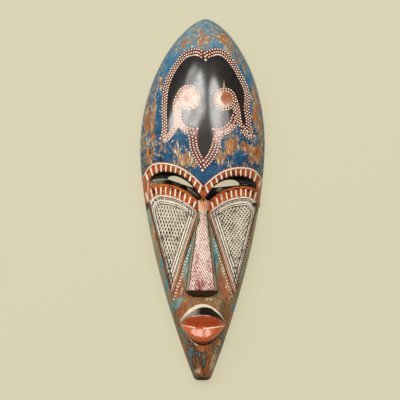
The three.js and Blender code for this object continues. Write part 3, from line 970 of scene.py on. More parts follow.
# Paler pink over the maroon of the rings and of the bands below them: a painted reflection of the lights on
# the lacquer
PAINTED_SHEEN = (
    (-17, 127, 17, 18, 1.1), (-31, 106, 7, 16, 1), (-28, 92, 10, 8, 0.8), (-45, 80, 7, 6, 0.6),
    (-10, 84, 8, 5, 0.7), (22, 124, 9, 14, 0.9), (24, 84, 10, 5, 0.8), (17, 76, 6, 6, 0.7),
    (-45, 100, 5, 30, 0.4), (36, 92, 6, 8, 0.5),
)

# Where the ground of the lattice stays black. Elsewhere cream has filled it to grey.
DEEP = (
    (-52, -24, 6, 12, 0.9), (-42, -42, 6, 14, 1.1), (-41, -62, 5, 16, 1.1), (-27, -36, 5, 10, 0.6),
    (28, -23, 8, 6, 1), (36, -40, 8, 10, 0.5), (57, -22, 5, 6, 0.6), (-40, -90, 2, 12, 1),
    (40, -88, 2, 12, 1),
)


# Measures are stored no larger than the paint can need them
FAR_OUTSIDE = 60.0
LARGEST_RISE = 80


def patches(x, y, spots):
    """How strongly soft oval patches cover each place."""
    total = np.zeros_like(x)
    for spot_x, spot_y, wide, high, strength in spots:
        total += strength * np.exp(-(((x - spot_x) / wide) ** 2) - ((y - spot_y) / high) ** 2)
    return total


# Lattice of the cheeks, and the hatch of the nose: directions of their lines in degrees
LATTICE_LEFT = (107.5, 64)
LATTICE_RIGHT = (58, 136)
LATTICE_PITCH = 3.3
LATTICE_WIDTHS = {"lattice_a": LATTICE_PITCH * 0.37, "lattice_b": LATTICE_PITCH * 0.33}
HATCH = 118
HATCH_PITCH = 2.6
HATCH_WIDTH = HATCH_PITCH * 0.66
# Borders round the lattice: over it, beside its inner and its outer edge, and the round of its outer corner
TOP_BORDER = 12
INNER_BORDER = 10.2
OUTER_BORDER = 4.4
CORNER_ROUND = 9
# Grooves in those borders, as places inside them, and beside the nose as pitch and width
BORDER_GROOVES = ((-1.2, 0.2), (-3.6, -2.8), (-6.9, -6.3), (-9.9, -9.2))
INNER_GROOVES = (3.2, 1.15)
# Painted lines along a panel's edges: the edge, their places from it, the lowest y and the colour
# The near-black lines at the foot of the inner bevel and along the outer edge are painted shadow.
EDGE_LINES = (
    ("panel_in", 1, 2, -114, "#7d3f28"), ("panel_in", -0.6, 1.1, -114, "#e6c9b0"),
    ("panel_in", -1.8, -0.5, -114, "#8d4429"), ("panel_in", -2.6, -1.7, -114, "#d8a98a"),
    ("panel_in", -4, -2.6, -116, "#24110c"), ("panel_out", -0.9, 0.2, -112, "#20130d"),
    ("panel_out", -2.3, -0.9, -112, "#7b3c22"),
)
# Cream on the ribs and cream stripes beyond them, as distances from the middle. Both end at a height
# over the rim: lowest, highest and softness.
RIB_PAINT_WIDTH = RIB_WIDTH * 0.74
RIB_PAINT_Z = (18, None, 3)
SIDE_STRIPES = ((72.7, 73.5), (68.6, 69.5))
STRIPE_PAINT_Z = (22, None, 3)
DARK_CHIN_Y = -221.2
# Patches of wear fade to this strength down the side walls, between these heights
WALL_WEAR = 0.3
WALL_WEAR_Z = (6, 30)
# Lower edge of the cream hood over the mouth, as share of the way across and rise
HOOD_FOOT = ((0, 17), (0.2, 17.5), (0.35, 20.3), (0.5, 21.3), (0.67, 22.5), (0.8, 20.8), (1, 20.5))


def across_lines(x, y, degrees):
    """Distance measured square to lines of a given direction."""
    turn = np.radians(degrees)
    return x * np.sin(turn) - y * np.cos(turn)


def in_panel(x, y):
    """How far outwards of a panel's inner edge each place lies."""
    return off_middle(x) - np.where(y < PANEL_INNER[1], valley_half(y), PANEL_INNER[0])


def in_lattice(x, y):
    """How far inside a panel's borders each place lies, and its lattice, both round at the outer corner."""
    under = lid_foot(x) - y - TOP_BORDER
    beside = panel_outer(y) - off_middle(x) - OUTER_BORDER
    short = np.hypot(np.clip(CORNER_ROUND - under, 0, None), np.clip(CORNER_ROUND - beside, 0, None))
    rounded = np.where(short > 0, CORNER_ROUND - short, np.minimum(under, beside))
    return rounded, np.minimum(rounded, in_panel(x, y) - INNER_BORDER)


def write_fields(mesh):
    """Stores on each vertex the measures that the paint follows, in millimetres."""
    x, y, z = (read_places(mesh) / MM).T
    over_wall = mix(WALL_WEAR, 1, ramp(z, *WALL_WEAR_Z))
    a = off_middle(x)
    left = x < MIDDLE_X
    flat = np.stack((x, y), axis=-1)
    near = y > brow_top(x)
    outline = np.full(len(x), -FAR_OUTSIDE)
    black = np.full(len(x), -FAR_OUTSIDE)
    outline[near] = in_outline(flat[near])
    black[near] = in_black(flat[near])
    front, foot, _ = nose_section(y)
    nose_ends = np.minimum(y - NOSE[0][0], NOSE[-1][0] - y)
    mouth_t, rise = mouth_place(x, y)
    rise = np.clip(rise, -LARGEST_RISE, LARGEST_RISE)
    brow_run = rib_run(x, y, brow_top, brow_foot) - BROW_RIBS[0]
    lid_run = rib_run(x, y, lid_top, lid_foot) - LID_RIBS[0]
    rounded, lattice = in_lattice(x, y)
    fields = {
        "outline": outline,
        "black": black,
        "left_spot": -off_oval(flat, *SPOTS[0]),
        "right_spot": -off_oval(flat, *SPOTS[1]),
        "ring": np.max([-off_oval(flat, at, np.array(reach) - RING_WIDTH) for at, reach in RINGS], axis=0),
        "drop": in_drop(flat),
        "over_brow": y - brow_top(x),
        "over_eye": y - brow_foot(x),
        "over_lid": y - lid_top(x),
        "over_cheek": y - lid_foot(x),
        "run": np.where(y > (lid_top(x) + brow_foot(x)) / 2, brow_run, lid_run),
        "off_middle": a,
        "panel_in": in_panel(x, y),
        "panel_out": panel_outer(y) - a,
        "rounded": rounded,
        "lattice": lattice,
        "lattice_a": across_lines(x, y, np.where(left, LATTICE_LEFT[0], LATTICE_RIGHT[0])),
        "lattice_b": across_lines(x, y, np.where(left, LATTICE_LEFT[1], LATTICE_RIGHT[1])),
        "nose": np.minimum(front - abs(x - nose_centre(y)), nose_ends),
        "nose_foot": np.minimum(foot - abs(x - nose_centre(y)), nose_ends),
        "hatch": across_lines(x, y, HATCH),
        "rise": rise,
        "hood": rise - np.interp(mouth_t, *np.array(HOOD_FOOT).T),
        "mouth": np.minimum(mouth_t, 1 - mouth_t) * (MOUTH_RIGHT[0] - MOUTH_LEFT[0]),
        "rubbed": patches(x, y, RUBBED) * over_wall,
        "stain": patches(x, y, STAINS),
        "teal": patches(x, y, TEAL) * over_wall,
        "tan": patches(x, y, TAN) * over_wall,
        "deep": patches(x, y, DEEP),
        "dust": patches(x, y, DUST),
        "painted_sheen": patches(x, y, PAINTED_SHEEN),
    }
    for name, values in fields.items():
        mesh.attributes.new(name, "FLOAT", "POINT").data.foreach_set("value", values.astype(np.float32))
    return tuple(fields)


NOISE_ROUGHNESS = 0.62


class Finish:
    """A material in the making: its nodes, the values it knows by name, and the coats laid so far.

    Wherever a value is asked for, it may be a number, a node's output or a name.
    """

    def __init__(self, name):
        self.material = bpy.data.materials.new(name)
        self.material.use_nodes = True
        self.tree = self.material.node_tree
        self.tree.nodes.clear()
        self.named = {}
        self.surface = {}

    def add(self, kind, links=None, out=0, **settings):
        """Adds a node with its settings, and sets its inputs or joins them to other nodes' outputs."""
        node = self.tree.nodes.new("ShaderNode" + kind)
        for name, value in settings.items():
            setattr(node, name, value)
        for name, value in (links or {}).items():
            if isinstance(value, str):
                value = self.named[value]
            if isinstance(value, bpy.types.NodeSocket):
                self.tree.links.new(value, node.inputs[name])
            else:
                node.inputs[name].default_value = value
        return node.outputs[out]

    def where(self, *limits, soft=0.3):
        """1 where all its limits hold, softened at the edges.

        A limit is a value with the lowest and highest that it may be, where None is open, and if need be
        its own softness. It may also be a mask made before.
        """
        mask = None
        for limit in limits:
            if isinstance(limit, tuple):
                value, low, high, *own = limit
                blur = own[0] if own else soft
                masks = [
                    self.add("MapRange", {"Value": value, "From Min": edge - reach, "From Max": edge + reach},
                             interpolation_type="SMOOTHSTEP", clamp=False)
                    for edge, reach in ((low, blur), (high, -blur)) if edge is not None
                ]
            else:
                masks = [limit]
            for part in masks:
                mask = part if mask is None else self.add("Math", {0: mask, 1: part}, operation="MULTIPLY")
        return mask

    def any_of(self, *masks):
        """1 where one mask or more is 1."""
        whole = masks[0]
        for mask in masks[1:]:
            whole = self.add("Math", {0: whole, 1: mask}, operation="MAXIMUM")
        return whole

    def summed(self, *terms, start=0.0):
        """A start and the sum of values, each times its share."""
        total = start
        for value, share in terms:
            total = self.add("Math", {0: value, 1: share, 2: total}, operation="MULTIPLY_ADD")
        return total

    def lines(self, value, pitch, width, soft=0.25):
        """1 on lines a pitch apart, at the multiples of the pitch of a value."""
        off = self.add("Math", {0: value, 1: pitch / 2}, operation="PINGPONG")
        return self.where((off, None, width / 2), soft=soft)

    def mottled(self, value, *hexes):
        """Colours blended one into the next as a value goes from 0 to 1."""
        colour = self.add("ValToRGB", {"Fac": value}, out="Color")
        stops = colour.node.color_ramp.elements
        for i in range(1, len(hexes) - 1):
            stops.new(i / (len(hexes) - 1))
        for stop, hex_colour in zip(stops, hexes):
            stop.color = linear(hex_colour)
        return colour

    def blend(self, share, under, over):
        """One colour over another, as far as the share says."""
        return self.add("Mix", {"Factor": share, 6: under, 7: over}, out=2, data_type="RGBA")

    def coat(self, mask, colour, roughness, height=0.0):
        """Lays a coat of paint over the surface so far, which is its colour, roughness and height in mm.

        The mask may be a list of the limits that make one, and the colour a tuple of a value and the
        colours that it mottles.
        """
        if isinstance(mask, list):
            mask = self.where(*mask)
        colour = self.mottled(*colour) if isinstance(colour, tuple) else colour
        colour = linear(colour) if isinstance(colour, str) else colour
        under = self.surface
        self.surface = {
            "colour": self.blend(mask, under["colour"], colour),
            "roughness": self.add("Mix", {"Factor": mask, 2: under["roughness"], 3: roughness}),
            "height": self.add("Math", {0: mask, 1: height, 2: under["height"]}, operation="MULTIPLY_ADD"),
        }

    def speckle(self, place, scale, stretch=(1, 1, 1), detail=4.0, contrast=1.0, warp=0.0):
        """Noise from 0 to 1 with so many features a unit, stretched along the axes, of some contrast."""
        stretched = self.add("Mapping", {"Vector": place, "Scale": stretch})
        noise = self.add("TexNoise", {
            "Vector": stretched, "Scale": scale, "Detail": detail, "Roughness": NOISE_ROUGHNESS,
            "Distortion": warp,
        })
        low, high = 0.5 - 0.25 / contrast, 0.5 + 0.25 / contrast
        return self.add("MapRange", {"Value": noise, "From Min": low, "From Max": high})

    def frayed(self, value, amount):
        """A value with ragged edges, as a brush leaves them."""
        return self.summed(("fine", amount), (value, 1), start=-amount / 2)

    def show(self, shader):
        """Puts a shader on the surface, and gives the material."""
        output = self.tree.nodes.new("ShaderNodeOutputMaterial")
        self.tree.links.new(shader, output.inputs["Surface"])
        return self.material


def name_noises(paint):
    """Makes the noises that the paints share: along the wood, across it, beside the panels, in the valley."""
    place = paint.add("TexCoord", out="Object")
    beside = paint.add("CombineXYZ", {"X": "panel_out", "Y": "y", "Z": "x"})
    within = paint.add("CombineXYZ", {"X": "panel_in", "Y": "y", "Z": "x"})
    drawn_out = (1, 0.1, 0.1)
    paint.named |= {
        "streaks": paint.speckle(place, 150, (1, 0.22, 1), contrast=1.3),
        "fine": paint.speckle(place, 420, contrast=1.2),
        "blots": paint.speckle(place, 110, (1, 0.7, 1), detail=6, contrast=1.3),
        "hairs": paint.speckle(place, 700, (1, 0.12, 1), contrast=1.3),
        "sweeps": paint.speckle(place, 260, (0.2, 1, 0.6), contrast=1.3),
        "marbled": paint.speckle(place, 75, (1, 0.42, 1), detail=8, contrast=1.25, warp=1.2),
        "islands": paint.speckle(place, 140, (1, 0.62, 1), detail=8, contrast=1.25, warp=1.6),
        "scratches": paint.speckle(place, 170, (1, 0.3, 1), detail=3, contrast=1.2, warp=2.5),
        "beside": paint.speckle(beside, 0.3, drawn_out, detail=5, contrast=1.4),
        "within": paint.speckle(within, 0.4, drawn_out, detail=5, contrast=1.4),
        "strokes": paint.speckle(place, 260, (1, 0.07, 1), detail=3, contrast=1.5),
    }


def paint_forehead(paint):
    """Blue rubbed through in flecks and patches, with cream left in the scratches."""
    on_forehead = paint.where(("over_brow", 1.5, None))
    worn = paint.summed(("rubbed", 0.36), ("islands", 0.66), ("fine", 0.3))
    # The blue darkens towards the brows and is deepest in the V between them: painted shade.
    shade = paint.summed(("blots", 0.45), ("fine", 0.25), ("over_brow", 0.0038), start=-0.15)
    blue = paint.mottled(shade, "#102c46", "#1a4768", "#2a6088", "#467a9a", "#7093a2")
    paint.coat([on_forehead, (worn, None, 0.675, 0.04)], blue, 0.42, 0.08)
    paint.coat([on_forehead, (worn, 0.6, 0.72, 0.05), ("hairs", 0.3, None, 0.3)], "#8a8268", 0.45)
    paint.coat([on_forehead, ("scratches", 0.74, None, 0.06), (worn, 0.5, None, 0.06)], "#d8c8a4", 0.45, 0.06)


def paint_lower_face(paint):
    """Greyed tan wood with ragged patches of rust, teal and cream, drawn out beside the panels."""
    low_face = paint.where(("over_cheek", None, 0))
    in_valley = paint.where(("panel_in", None, 0), ("y", -122, None, 6))
    drawn = paint.add("Mix", {"Factor": in_valley, 2: "beside", 3: "within"})
    # The wood's tone darkens towards the chin: painted shade, as the face turns downwards there.
    tone_with_painted_shade = paint.summed((drawn, 0.5), ("fine", 0.4), ("y", 0.004), start=0.36)
    paint.coat(low_face, (tone_with_painted_shade, "#4d3a29", "#84694a", "#958463", "#8b907a", "#b3a384"), 0.42)
    ragged = paint.summed(("islands", 0.46), (drawn, 0.34), ("fine", 0.2))
    rust = paint.summed(("teal", -0.5), (ragged, 1))
    paint.coat([low_face, (rust, 0.555, None, 0.035)], ("hairs", "#6d3d22", "#9a5833", "#b47244"), 0.42, 0.05)
    teal = paint.where(low_face, (paint.summed(("teal", 0.5), (ragged, -1)), -0.235, None, 0.035))
    tint = paint.summed(("blots", 0.8), ("y", 0.003), start=0.42)
    paint.coat(teal, (tint, "#2f5a62", "#467b85", "#659aa0", "#8fa898"), 0.42, 0.05)
    scuffed = paint.summed(("tan", 0.5), ("streaks", 0.35), ("fine", 0.3))
    dragged = paint.where(low_face, (scuffed, 0.62, None, 0.06))
    paint.coat(dragged, ("hairs", "#9a835a", "#bfa880", "#dccaa6"), 0.45, 0.05)
    pale = paint.where(low_face, in_valley, ("within", 0.82, None, 0.12), ("nose_foot", None, -0.5))
    paint.coat(pale, "#cfc3a6", 0.5, 0.05)


def paint_ornament(paint):
    """Black field with maroon bands, two cream-filled rings and a drop. Returns where lacquer is on them."""
    inside = paint.where((paint.frayed("outline", 0.8), 0, None))
    paint.coat(inside, ("streaks", "#48140c", "#6a2316", "#833a24"), 0.4, 0.05)
    # Paler pink over the maroon where the lights' reflection lies: a painted reflection.
    painted_sheen = paint.summed(("fine", 0.4), ("painted_sheen", 1))
    paint.coat([inside, (painted_sheen, 0.75, None, 0.45)], ("fine", "#8c5647", "#b48576", "#d3b0a2"), 0.4)
    black = paint.where((paint.frayed("black", 0.6), 0, None))
    paint.coat(black, ("streaks", "#070606", "#110d0b", "#22140f"), 0.45, 0.05)
    paint.coat([("ring", 0, None, 0.5)], "#cfae9f", 0.4, 0.05)
    left = paint.where((paint.frayed("left_spot", 2), 0, None, 0.8))
    paint.coat(left, ("blots", "#cc9f8f", "#dfc2b3", "#e8d6cb"), 0.45, 0.1)
    right = paint.where((paint.frayed("right_spot", 2), 0, None, 0.5))
    paint.coat(right, ("blots", "#8a4a2c", "#ab6c4a", "#c79c80"), 0.45, 0.1)
    paint.coat([(paint.frayed("drop", 0.6), 0, None)], "#b89068", 0.4, 0.1)
    lacquer = paint.summed((black, 0.15), (inside, 0.8))
    lacquer = paint.summed((paint.any_of(left, right), -0.6), (lacquer, 1))
    streaky = paint.summed(("blots", 0.5), ("y", 0.003), start=0.24)
    return paint.where(lacquer, streaky)


def paint_band(paint, here, ribs, shade):
    """Orange-red band of a brow or a lid with cream ribs, dark brown under the shade mask and the stains."""
    paint.coat(here, ("hairs", "#6a2a13", "#b0542a", "#d07c48"), 0.4)
    # Dark brown over the shade mask and the stains: on a brow this is painted shade along the band's foot.
    paint.coat([here, paint.any_of(shade, "stain")], "#22100a", 0.45)
    paint.coat([
        paint.lines("run", RIB_PITCH, RIB_PAINT_WIDTH), ribs, ("run", -1, None), ("z", *RIB_PAINT_Z),
        (paint.summed(("fine", 0.6), ("streaks", 0.4)), 0.26, None, 0.15),
    ], "#faecd2", 0.45, 0.1)


def paint_brows(paint):
    """Ribbed brows and lids, the beads over the brows and the streaked ends of the bands."""
    side = paint.where(("off_middle", SOCKET_TO, None), ("over_cheek", -1, None), ("over_eye", None, 1))
    paint.coat(side, ("hairs", "#6a2a13", "#b0542a", "#c8763f"), 0.45)
    drawn = paint.frayed("off_middle", 0.4)
    stripes = paint.any_of(*[paint.where((drawn, *stripe)) for stripe in SIDE_STRIPES])
    paint.coat([side, stripes, ("streaks", 0.2, None, 0.1), ("z", *STRIPE_PAINT_Z)], "#efe1c8", 0.45, 0.05)
    # The brow band darkens towards its foot as painted shade under the overhang. The lid band has dark
    # blotches on its lower part.
    paint_band(
        paint, paint.where(("over_eye", 0, None), ("over_brow", None, -1), ("off_middle", None, 76)),
        paint.where(("over_eye", 2, None, 0.8), ("over_brow", None, -1.6)),
        paint.where(("over_eye", None, 3.2, 2.4), ("off_middle", None, SOCKET_TO, 2)),
    )
    on_lid = paint.where(("over_cheek", 0, None), ("over_lid", None, 0), ("off_middle", 3, 68))
    paint_band(
        paint, on_lid, paint.where(("over_cheek", 0.8, None), ("over_lid", None, -3.6)),
        paint.where(("blots", 0.68, None, 0.15), ("over_lid", None, -1.5)),
    )
    # A lighter orange strip along the top of the left lid only: a painted highlight.
    lit = [on_lid, ("over_lid", -3.2, -0.4, 0.5), ("streaks", 0.35, None, 0.25), ("x", None, -4, 3)]
    paint.coat(lit, ("hairs", "#a04c20", "#cf7430"), 0.4)
    over_brow = paint.frayed("over_brow", 0.7)
    whole = paint.where((paint.frayed("off_middle", 1.5), 2, 75, 0.5))
    paint.coat([(over_brow, -1.2, 0.7), whole], "#f6e8cd", 0.42, 0.1)
    paint.coat([(over_brow, 0.8, 1.8), ("off_middle", None, 75)], "#9c4a26", 0.42)


def paint_sockets(paint):
    """Sockets painted near black, partly as painted shade in the recess, and greyed where the brush dragged
    over the lids' edges.
    """
    socket = paint.where(("over_lid", 0.2, None), ("over_eye", None, 0.15), ("off_middle", 3, SOCKET_TO))
    # Dark paint made near black: partly painted shade for the socket's recess.
    paint.coat(socket, ("hairs", "#050303", "#0e0a08", "#20150f"), 0.6)
    dust = paint.summed(("sweeps", 0.6), ("dust", 0.5))
    dusty = [socket, (dust, 0.62, None, 0.2), ("over_lid", 0.8, 6.5, 0.8), ("over_eye", None, -3, 0.6)]
    paint.coat(dusty, ("blots", "#5a5848", "#98967d", "#c9bd9a"), 0.55)


def paint_panels(paint):
    """Cheek panels: cream dry-brushed over dark carved grooves, so that it sits on the high lines alone."""
    panel = paint.where(("over_cheek", None, 0), ("panel_in", 0, None), ("panel_out", 0, None))
    over, under = [
        paint.lines(paint.frayed(name, 0.9), LATTICE_PITCH, width) for name, width in LATTICE_WIDTHS.items()
    ]
    net = paint.any_of(over, paint.where(under, ("blots", 0.22, None, 0.2)))
    edge = paint.frayed("rounded", 0.5)
    inner = paint.where(("panel_in", 1.2, INNER_BORDER), ("over_cheek", None, -5.5))
    in_net = paint.where(("lattice", 0, None))
    grooves = [paint.where((edge, *groove)) for groove in BORDER_GROOVES]
    grooves.append(paint.where(inner, paint.lines(paint.frayed("panel_in", 0.7), *INNER_GROOVES)))
    border = paint.add("Math", {0: 1.0, 1: paint.any_of(*grooves)}, operation="SUBTRACT", use_clamp=True)
    raised = paint.add("Mix", {"Factor": in_net, 2: border, 3: net})
    deep = paint.summed(("deep", 1), ("marbled", 0.7), start=-0.35)
    filled = paint.where(in_net, (deep, None, 0.35, 0.3))
    dark = paint.mottled("marbled", "#070504", "#1f1814", "#3c352f")
    paint.coat(panel, paint.blend(filled, dark, paint.mottled("blots", "#3f362d", "#857a6c")), 0.55)
    creamed = paint.where(raised, panel, ("blots", 0.12, None, 0.12))
    paint.coat(creamed, ("blots", "#c9bca5", "#e3d7c1", "#f8efdc"), 0.5, 0.4)
    mauve = [panel, ("blots", 0.3, None, 0.15), ("rounded", -9.4, -6.3, 0.5), ("hairs", 0.35, None, 0.2)]
    paint.coat(mauve, ("fine", "#5f5552", "#9c928d"), 0.5)
    paint.coat([panel, ("fine", 0.7, None, 0.08), ("panel_out", None, OUTER_BORDER)], "#7d7266", 0.5)
    paint.coat([("stain", 0.55, None, 0.2), ("over_cheek", None, 0)], "#1d1511", 0.5)


def paint_edges(paint):
    """Fine lines on the bevel between a panel and the valley, and outside a panel's outer edge; the darkest
    are painted shadow.
    """
    frayed = {name: paint.frayed(name, 0.5) for name in ("panel_in", "panel_out")}
    low_face = paint.where(("over_cheek", None, -1), ("nose_foot", None, 0))
    for name, low, high, lowest, colour in EDGE_LINES:
        paint.coat([low_face, (frayed[name], low, high, 0.2), ("y", lowest, None)], colour, 0.45)


def paint_nose(paint):
    """Pink and white hatching over red, with greyed sides, a pale root and an underside painted dark, partly
    as painted shade under the nose.
    """
    foot = paint.where(("nose_foot", -0.3, None), ("over_cheek", None, 0))
    paint.coat(foot, ("strokes", "#352f27", "#7a7765", "#9a9b8a", "#cfc5a8", "#6b5c48"), 0.5)
    by_side = paint.frayed("nose", 0.8)
    for low, high, colour in ((-4.4, -3.6, "#2b221a"), (-2, -1, "#d3caac"), (-0.8, 0.5, "#2b221a")):
        paint.coat([foot, (by_side, low, high), ("strokes", 0.3, None, 0.15), ("y", None, -19)], colour, 0.5)
    narrowed = paint.add("MapRange", {"Value": "y", "From Min": -80, "From Max": -20, "To Max": 2.6})
    across = paint.summed((narrowed, -1), (paint.frayed("nose", 0.8), 1))
    front = paint.where((across, 0.2, None, 0.4), ("y", None, -17, 1.5))
    upper = paint.add("MapRange", {"Value": "y", "From Min": -112, "From Max": -70})
    paint.coat(front, (upper, "#842623", "#9b4f49", "#ad7268"), 0.5)
    tip = paint.add("MapRange", {"Value": "y", "From Min": -96, "From Max": -112})
    hatch = paint.lines("hatch", HATCH_PITCH, HATCH_WIDTH, soft=0.45)
    dry = paint.summed(("fine", 0.6), ("streaks", 0.5), (tip, -0.1))
    paint.coat([hatch, front, (dry, 0.4, None, 0.2)], ("blots", "#dfc3b7", "#efdfd4", "#faf1ea"), 0.45, 0.3)
    root = paint.where(("nose", 0, None), ("y", -18, -12.5, 0.6))
    paint.coat(root, ("hairs", "#55524a", "#a39c88", "#e4d8bf"), 0.5, 0.1)
    ragged = paint.frayed("off_middle", 1.6)
    paint.coat([(ragged, 3.2, 6.5, 0.5), ("y", -14, -1, 0.8)], ("hairs", "#bfa98c", "#efe2ca"), 0.5, 0.1)
    block = paint.where((ragged, None, 4, 0.5), ("y", -12.5, -3, 0.9))
    paint.coat(block, ("hairs", "#b85a35", "#d98a66", "#e9b79c"), 0.45, 0.1)
    # The underside is painted dark brown, partly as painted shade under the nose.
    paint.coat([("y", None, -113, 0.6), ("nose_foot", -0.5, None)], ("hairs", "#24100a", "#532a17"), 0.5)


def paint_mouth(paint):
    """Gloss orange-red lips, the upper darker as painted shade, cream at the parting, a black hollow over
    them and a cream hood over that.
    """
    within = ("mouth", 0.6, None)
    rise = paint.frayed("rise", 1)
    hood = paint.where(within, (paint.frayed("hood", 3), 0, None, 0.6), (rise, None, 25.3, 0.5))
    paint.coat(hood, ("blots", "#cfc0a2", "#f1e7d0"), 0.5, 0.1)
    crescent = paint.where(within, ("rise", LIP_EDGE - 0.3, None), ("hood", None, 0))
    paint.coat(crescent, ("hairs", "#120e0c", "#231d1a"), 0.42)
    paint.coat([crescent, ("x", None, -6, 5), ("hood", -8, None, 1)], ("hairs", "#69635b", "#a59e92"), 0.42)
    # The upper lip is a darker orange-red than the lower: painted shade, as it faces downwards.
    paint.coat([within, ("rise", PARTING, LIP_EDGE)], ("hairs", "#8c3009", "#b64e1c"), 0.35, 0.05)
    paint.coat([within, ("rise", LOWER_LIP_FOOT, PARTING)], ("hairs", "#b44c1a", "#cf6429"), 0.35, 0.05)
    # Cream paint along the parting, broken in the middle, that also stands for the highlight on the lower
    # lip's top edge: partly a painted highlight.
    parting = paint.where(within, (rise, -5.6, -3.7, 0.4))
    whole = paint.any_of(paint.where(("x", None, -9, 1.5)), paint.where(("x", 1, None, 1.5)))
    paint.coat([parting, whole], "#f3e2c8", 0.4)
    paint.coat([within, (rise, -26.3, LOWER_LIP_FOOT)], "#2a1c15", 0.5)
    outlined = [within, (rise, -28.6, -26.5), ("x", None, -6, 2), ("streaks", 0.3, None, 0.1)]
    paint.coat(outlined, "#c9b895", 0.5)


def painted_wood(names):
    """Light hardwood with brushed acrylic, rubbed back and waxed: soft gloss, worn and streaky colour."""
    paint = Finish("rubbed acrylic paint on carved wood")
    paint.named = {name: paint.add("Attribute", out="Fac", attribute_name=name) for name in names}
    place = paint.add("TexCoord", out="Object")
    scaled = paint.add("VectorMath", {0: place, "Scale": 1 / MM}, operation="SCALE")
    parted = paint.add("SeparateXYZ", {"Vector": scaled}).node.outputs
    paint.named |= {axis.name.lower(): axis for axis in parted}
    name_noises(paint)

    bareness = paint.summed(("marbled", 0.9), ("tan", 0.4))
    wood = paint.mottled(bareness, "#5c3c24", "#875029", "#ab6331", "#b87842", "#ae8a5e", "#d3b98e")
    paint.surface = {"colour": wood, "roughness": 0.5, "height": 0.0}
    paint_forehead(paint)
    paint_lower_face(paint)
    lacquer = paint_ornament(paint)
    paint_brows(paint)
    paint_sockets(paint)
    paint_panels(paint)
    paint_edges(paint)
    paint_nose(paint)
    paint_mouth(paint)
    paint.coat([("y", None, DARK_CHIN_Y, 0.7)], "#1a1512", 0.45)

    lips = paint.where(("rise", LOWER_LIP_FOOT, LIP_EDGE), ("mouth", 0.6, None))
    lacquer = paint.summed((lips, 0.5), (lacquer, 1))
    relief = paint.summed(("fine", 0.06), (paint.surface["height"], 1))
    brushed = paint.summed(("streaks", 0.012))
    normal, coat_normal = [
        paint.add("Bump", {"Height": height, "Distance": MM, "Strength": 1.0}) for height in (relief, brushed)
    ]
    return paint.show(paint.add("BsdfPrincipled", {
        "Base Color": paint.surface["colour"], "Roughness": paint.surface["roughness"], "IOR": 1.5,
        "Specular IOR Level": 0.16, "Normal": normal, "Coat Weight": lacquer, "Coat IOR": 1.9,
        "Coat Roughness": 0.15, "Coat Normal": coat_normal,
    }))


def bare_wood():
    """Light hardwood left bare by the gouge: dull, pale brown, with grain along the mask."""
    wood = Finish("gouged light hardwood")
    place = wood.add("TexCoord", out="Object")
    grain = wood.speckle(place, 260, (1, 0.05, 1), contrast=1.2)
    scoops = wood.add("Mapping", {"Vector": place, "Scale": (1, 0.45, 1)})
    gouges = wood.add("TexVoronoi", {"Vector": scoops, "Scale": 110}, out="Distance")
    shade = wood.summed((gouges, 0.55), (wood.speckle(place, 25), 0.4), start=-0.1)
    dusk = wood.blend(shade, wood.mottled(grain, "#8a6238", "#a67c4b", "#b98f5c"), linear("#6b4c2c"))
    normal = wood.add("Bump", {"Height": gouges, "Distance": GOUGE_DEPTH * MM, "Strength": 1.0})
    return wood.show(wood.add("BsdfPrincipled", {"Base Color": dusk, "Roughness": 0.65, "Normal": normal}))


def single_coat(name, scale, roughness, *hexes):
    """One even paint, a little mottled."""
    paint = Finish(name)
    colour = paint.mottled(paint.speckle(paint.add("TexCoord", out="Object"), scale), *hexes)
    return paint.show(paint.add("BsdfPrincipled", {"Base Color": colour, "Roughness": roughness}))


def slit_paint():
    """Brushed black acrylic on the walls of the eye slits, dull and a little brown."""
    return single_coat("dull black acrylic", 300, 0.55, "#1a1410", "#3b2c20")


def dot_paint():
    """Thick cream acrylic set down in drops: opaque with a soft gloss."""
    return single_coat("cream acrylic in drops", 500, 0.42, "#efdcc0", "#fff6e2")


def lay_dots():
    """Low drops of paint that stand on the carved surface, as one mesh."""
    bpy.ops.object.select_all(action="DESELECT")
    bpy.ops.mesh.primitive_uv_sphere_add(segments=DOT_SEGMENTS, ring_count=DOT_RINGS, radius=0.5)
    drop = bpy.context.object
    edit(drop)
    bpy.ops.mesh.bisect(plane_co=(0, 0, -DOT_SUNK), plane_no=(0, 0, 1), clear_inner=True)
    bpy.ops.mesh.select_all(action="SELECT")
    bpy.ops.transform.resize(value=(1, 1, DOT_RISE))
    done()
    bpy.ops.object.shade_smooth()
    drop.data.materials.append(dot_paint())
    copies = []
    for x, y, wide in dot_places():
        z, ahead, up = height(np.array((x, x + DOT_FOOT, x)), np.array((y, y, y + DOT_FOOT)))
        normal = Vector((z - ahead, z - up, DOT_FOOT)).normalized()
        copy = bpy.data.objects.new("drop", drop.data.copy())
        copy.location = Vector((x, y, z)) * MM
        copy.rotation_euler = normal.to_track_quat("Z", "Y").to_euler()
        copy.scale = [wide * MM] * 3
        bpy.context.collection.objects.link(copy)
        copies.append(copy)
    bpy.ops.object.select_all(action="DESELECT")
    for copy in copies:
        copy.select_set(True)
    bpy.context.view_layer.objects.active = copies[0]
    bpy.ops.object.join()
    dots = bpy.context.object
    dots.name = "paint_dots"
    bpy.ops.object.transform_apply(location=True, rotation=True, scale=True)
    bpy.data.objects.remove(drop)
    return dots


# Studio, in metres: the floor, then softboxes as their middle, their width and length, and how bright they
# are. They lie in one plane.
FLOOR_SIZE = 6
FLOOR_DROP = 0.0005
SOFTBOXES = {
    "high left": ((-0.43, 1.22), (0.98, 1.96), 1),
    "upper left": ((-1.4, 2), (1.4, 1.6), 0.4),
    "low left": ((-1.9, 0.85), (4.0, 1.35), 1),
    "right": ((0.98, 0.95), (1.16, 1.9), 1),
    "far right": ((1.75, 0.75), (1.2, 1.3), 0.4),
}
SOFTBOX_Z = 3.2
SOFTBOX_COLOUR = (1, 0.975, 0.93)
GLOW = 7
SKY_COLOUR = (0.95, 0.93, 0.88, 1)
SKY_STRENGTH = 0.15

# Camera, in millimetres: where it is, the width that it sees, and its sensor
EYE = (-2.9, -0.6)
VIEW_FROM = 20000
FIELD = 498.8
SENSOR = 36


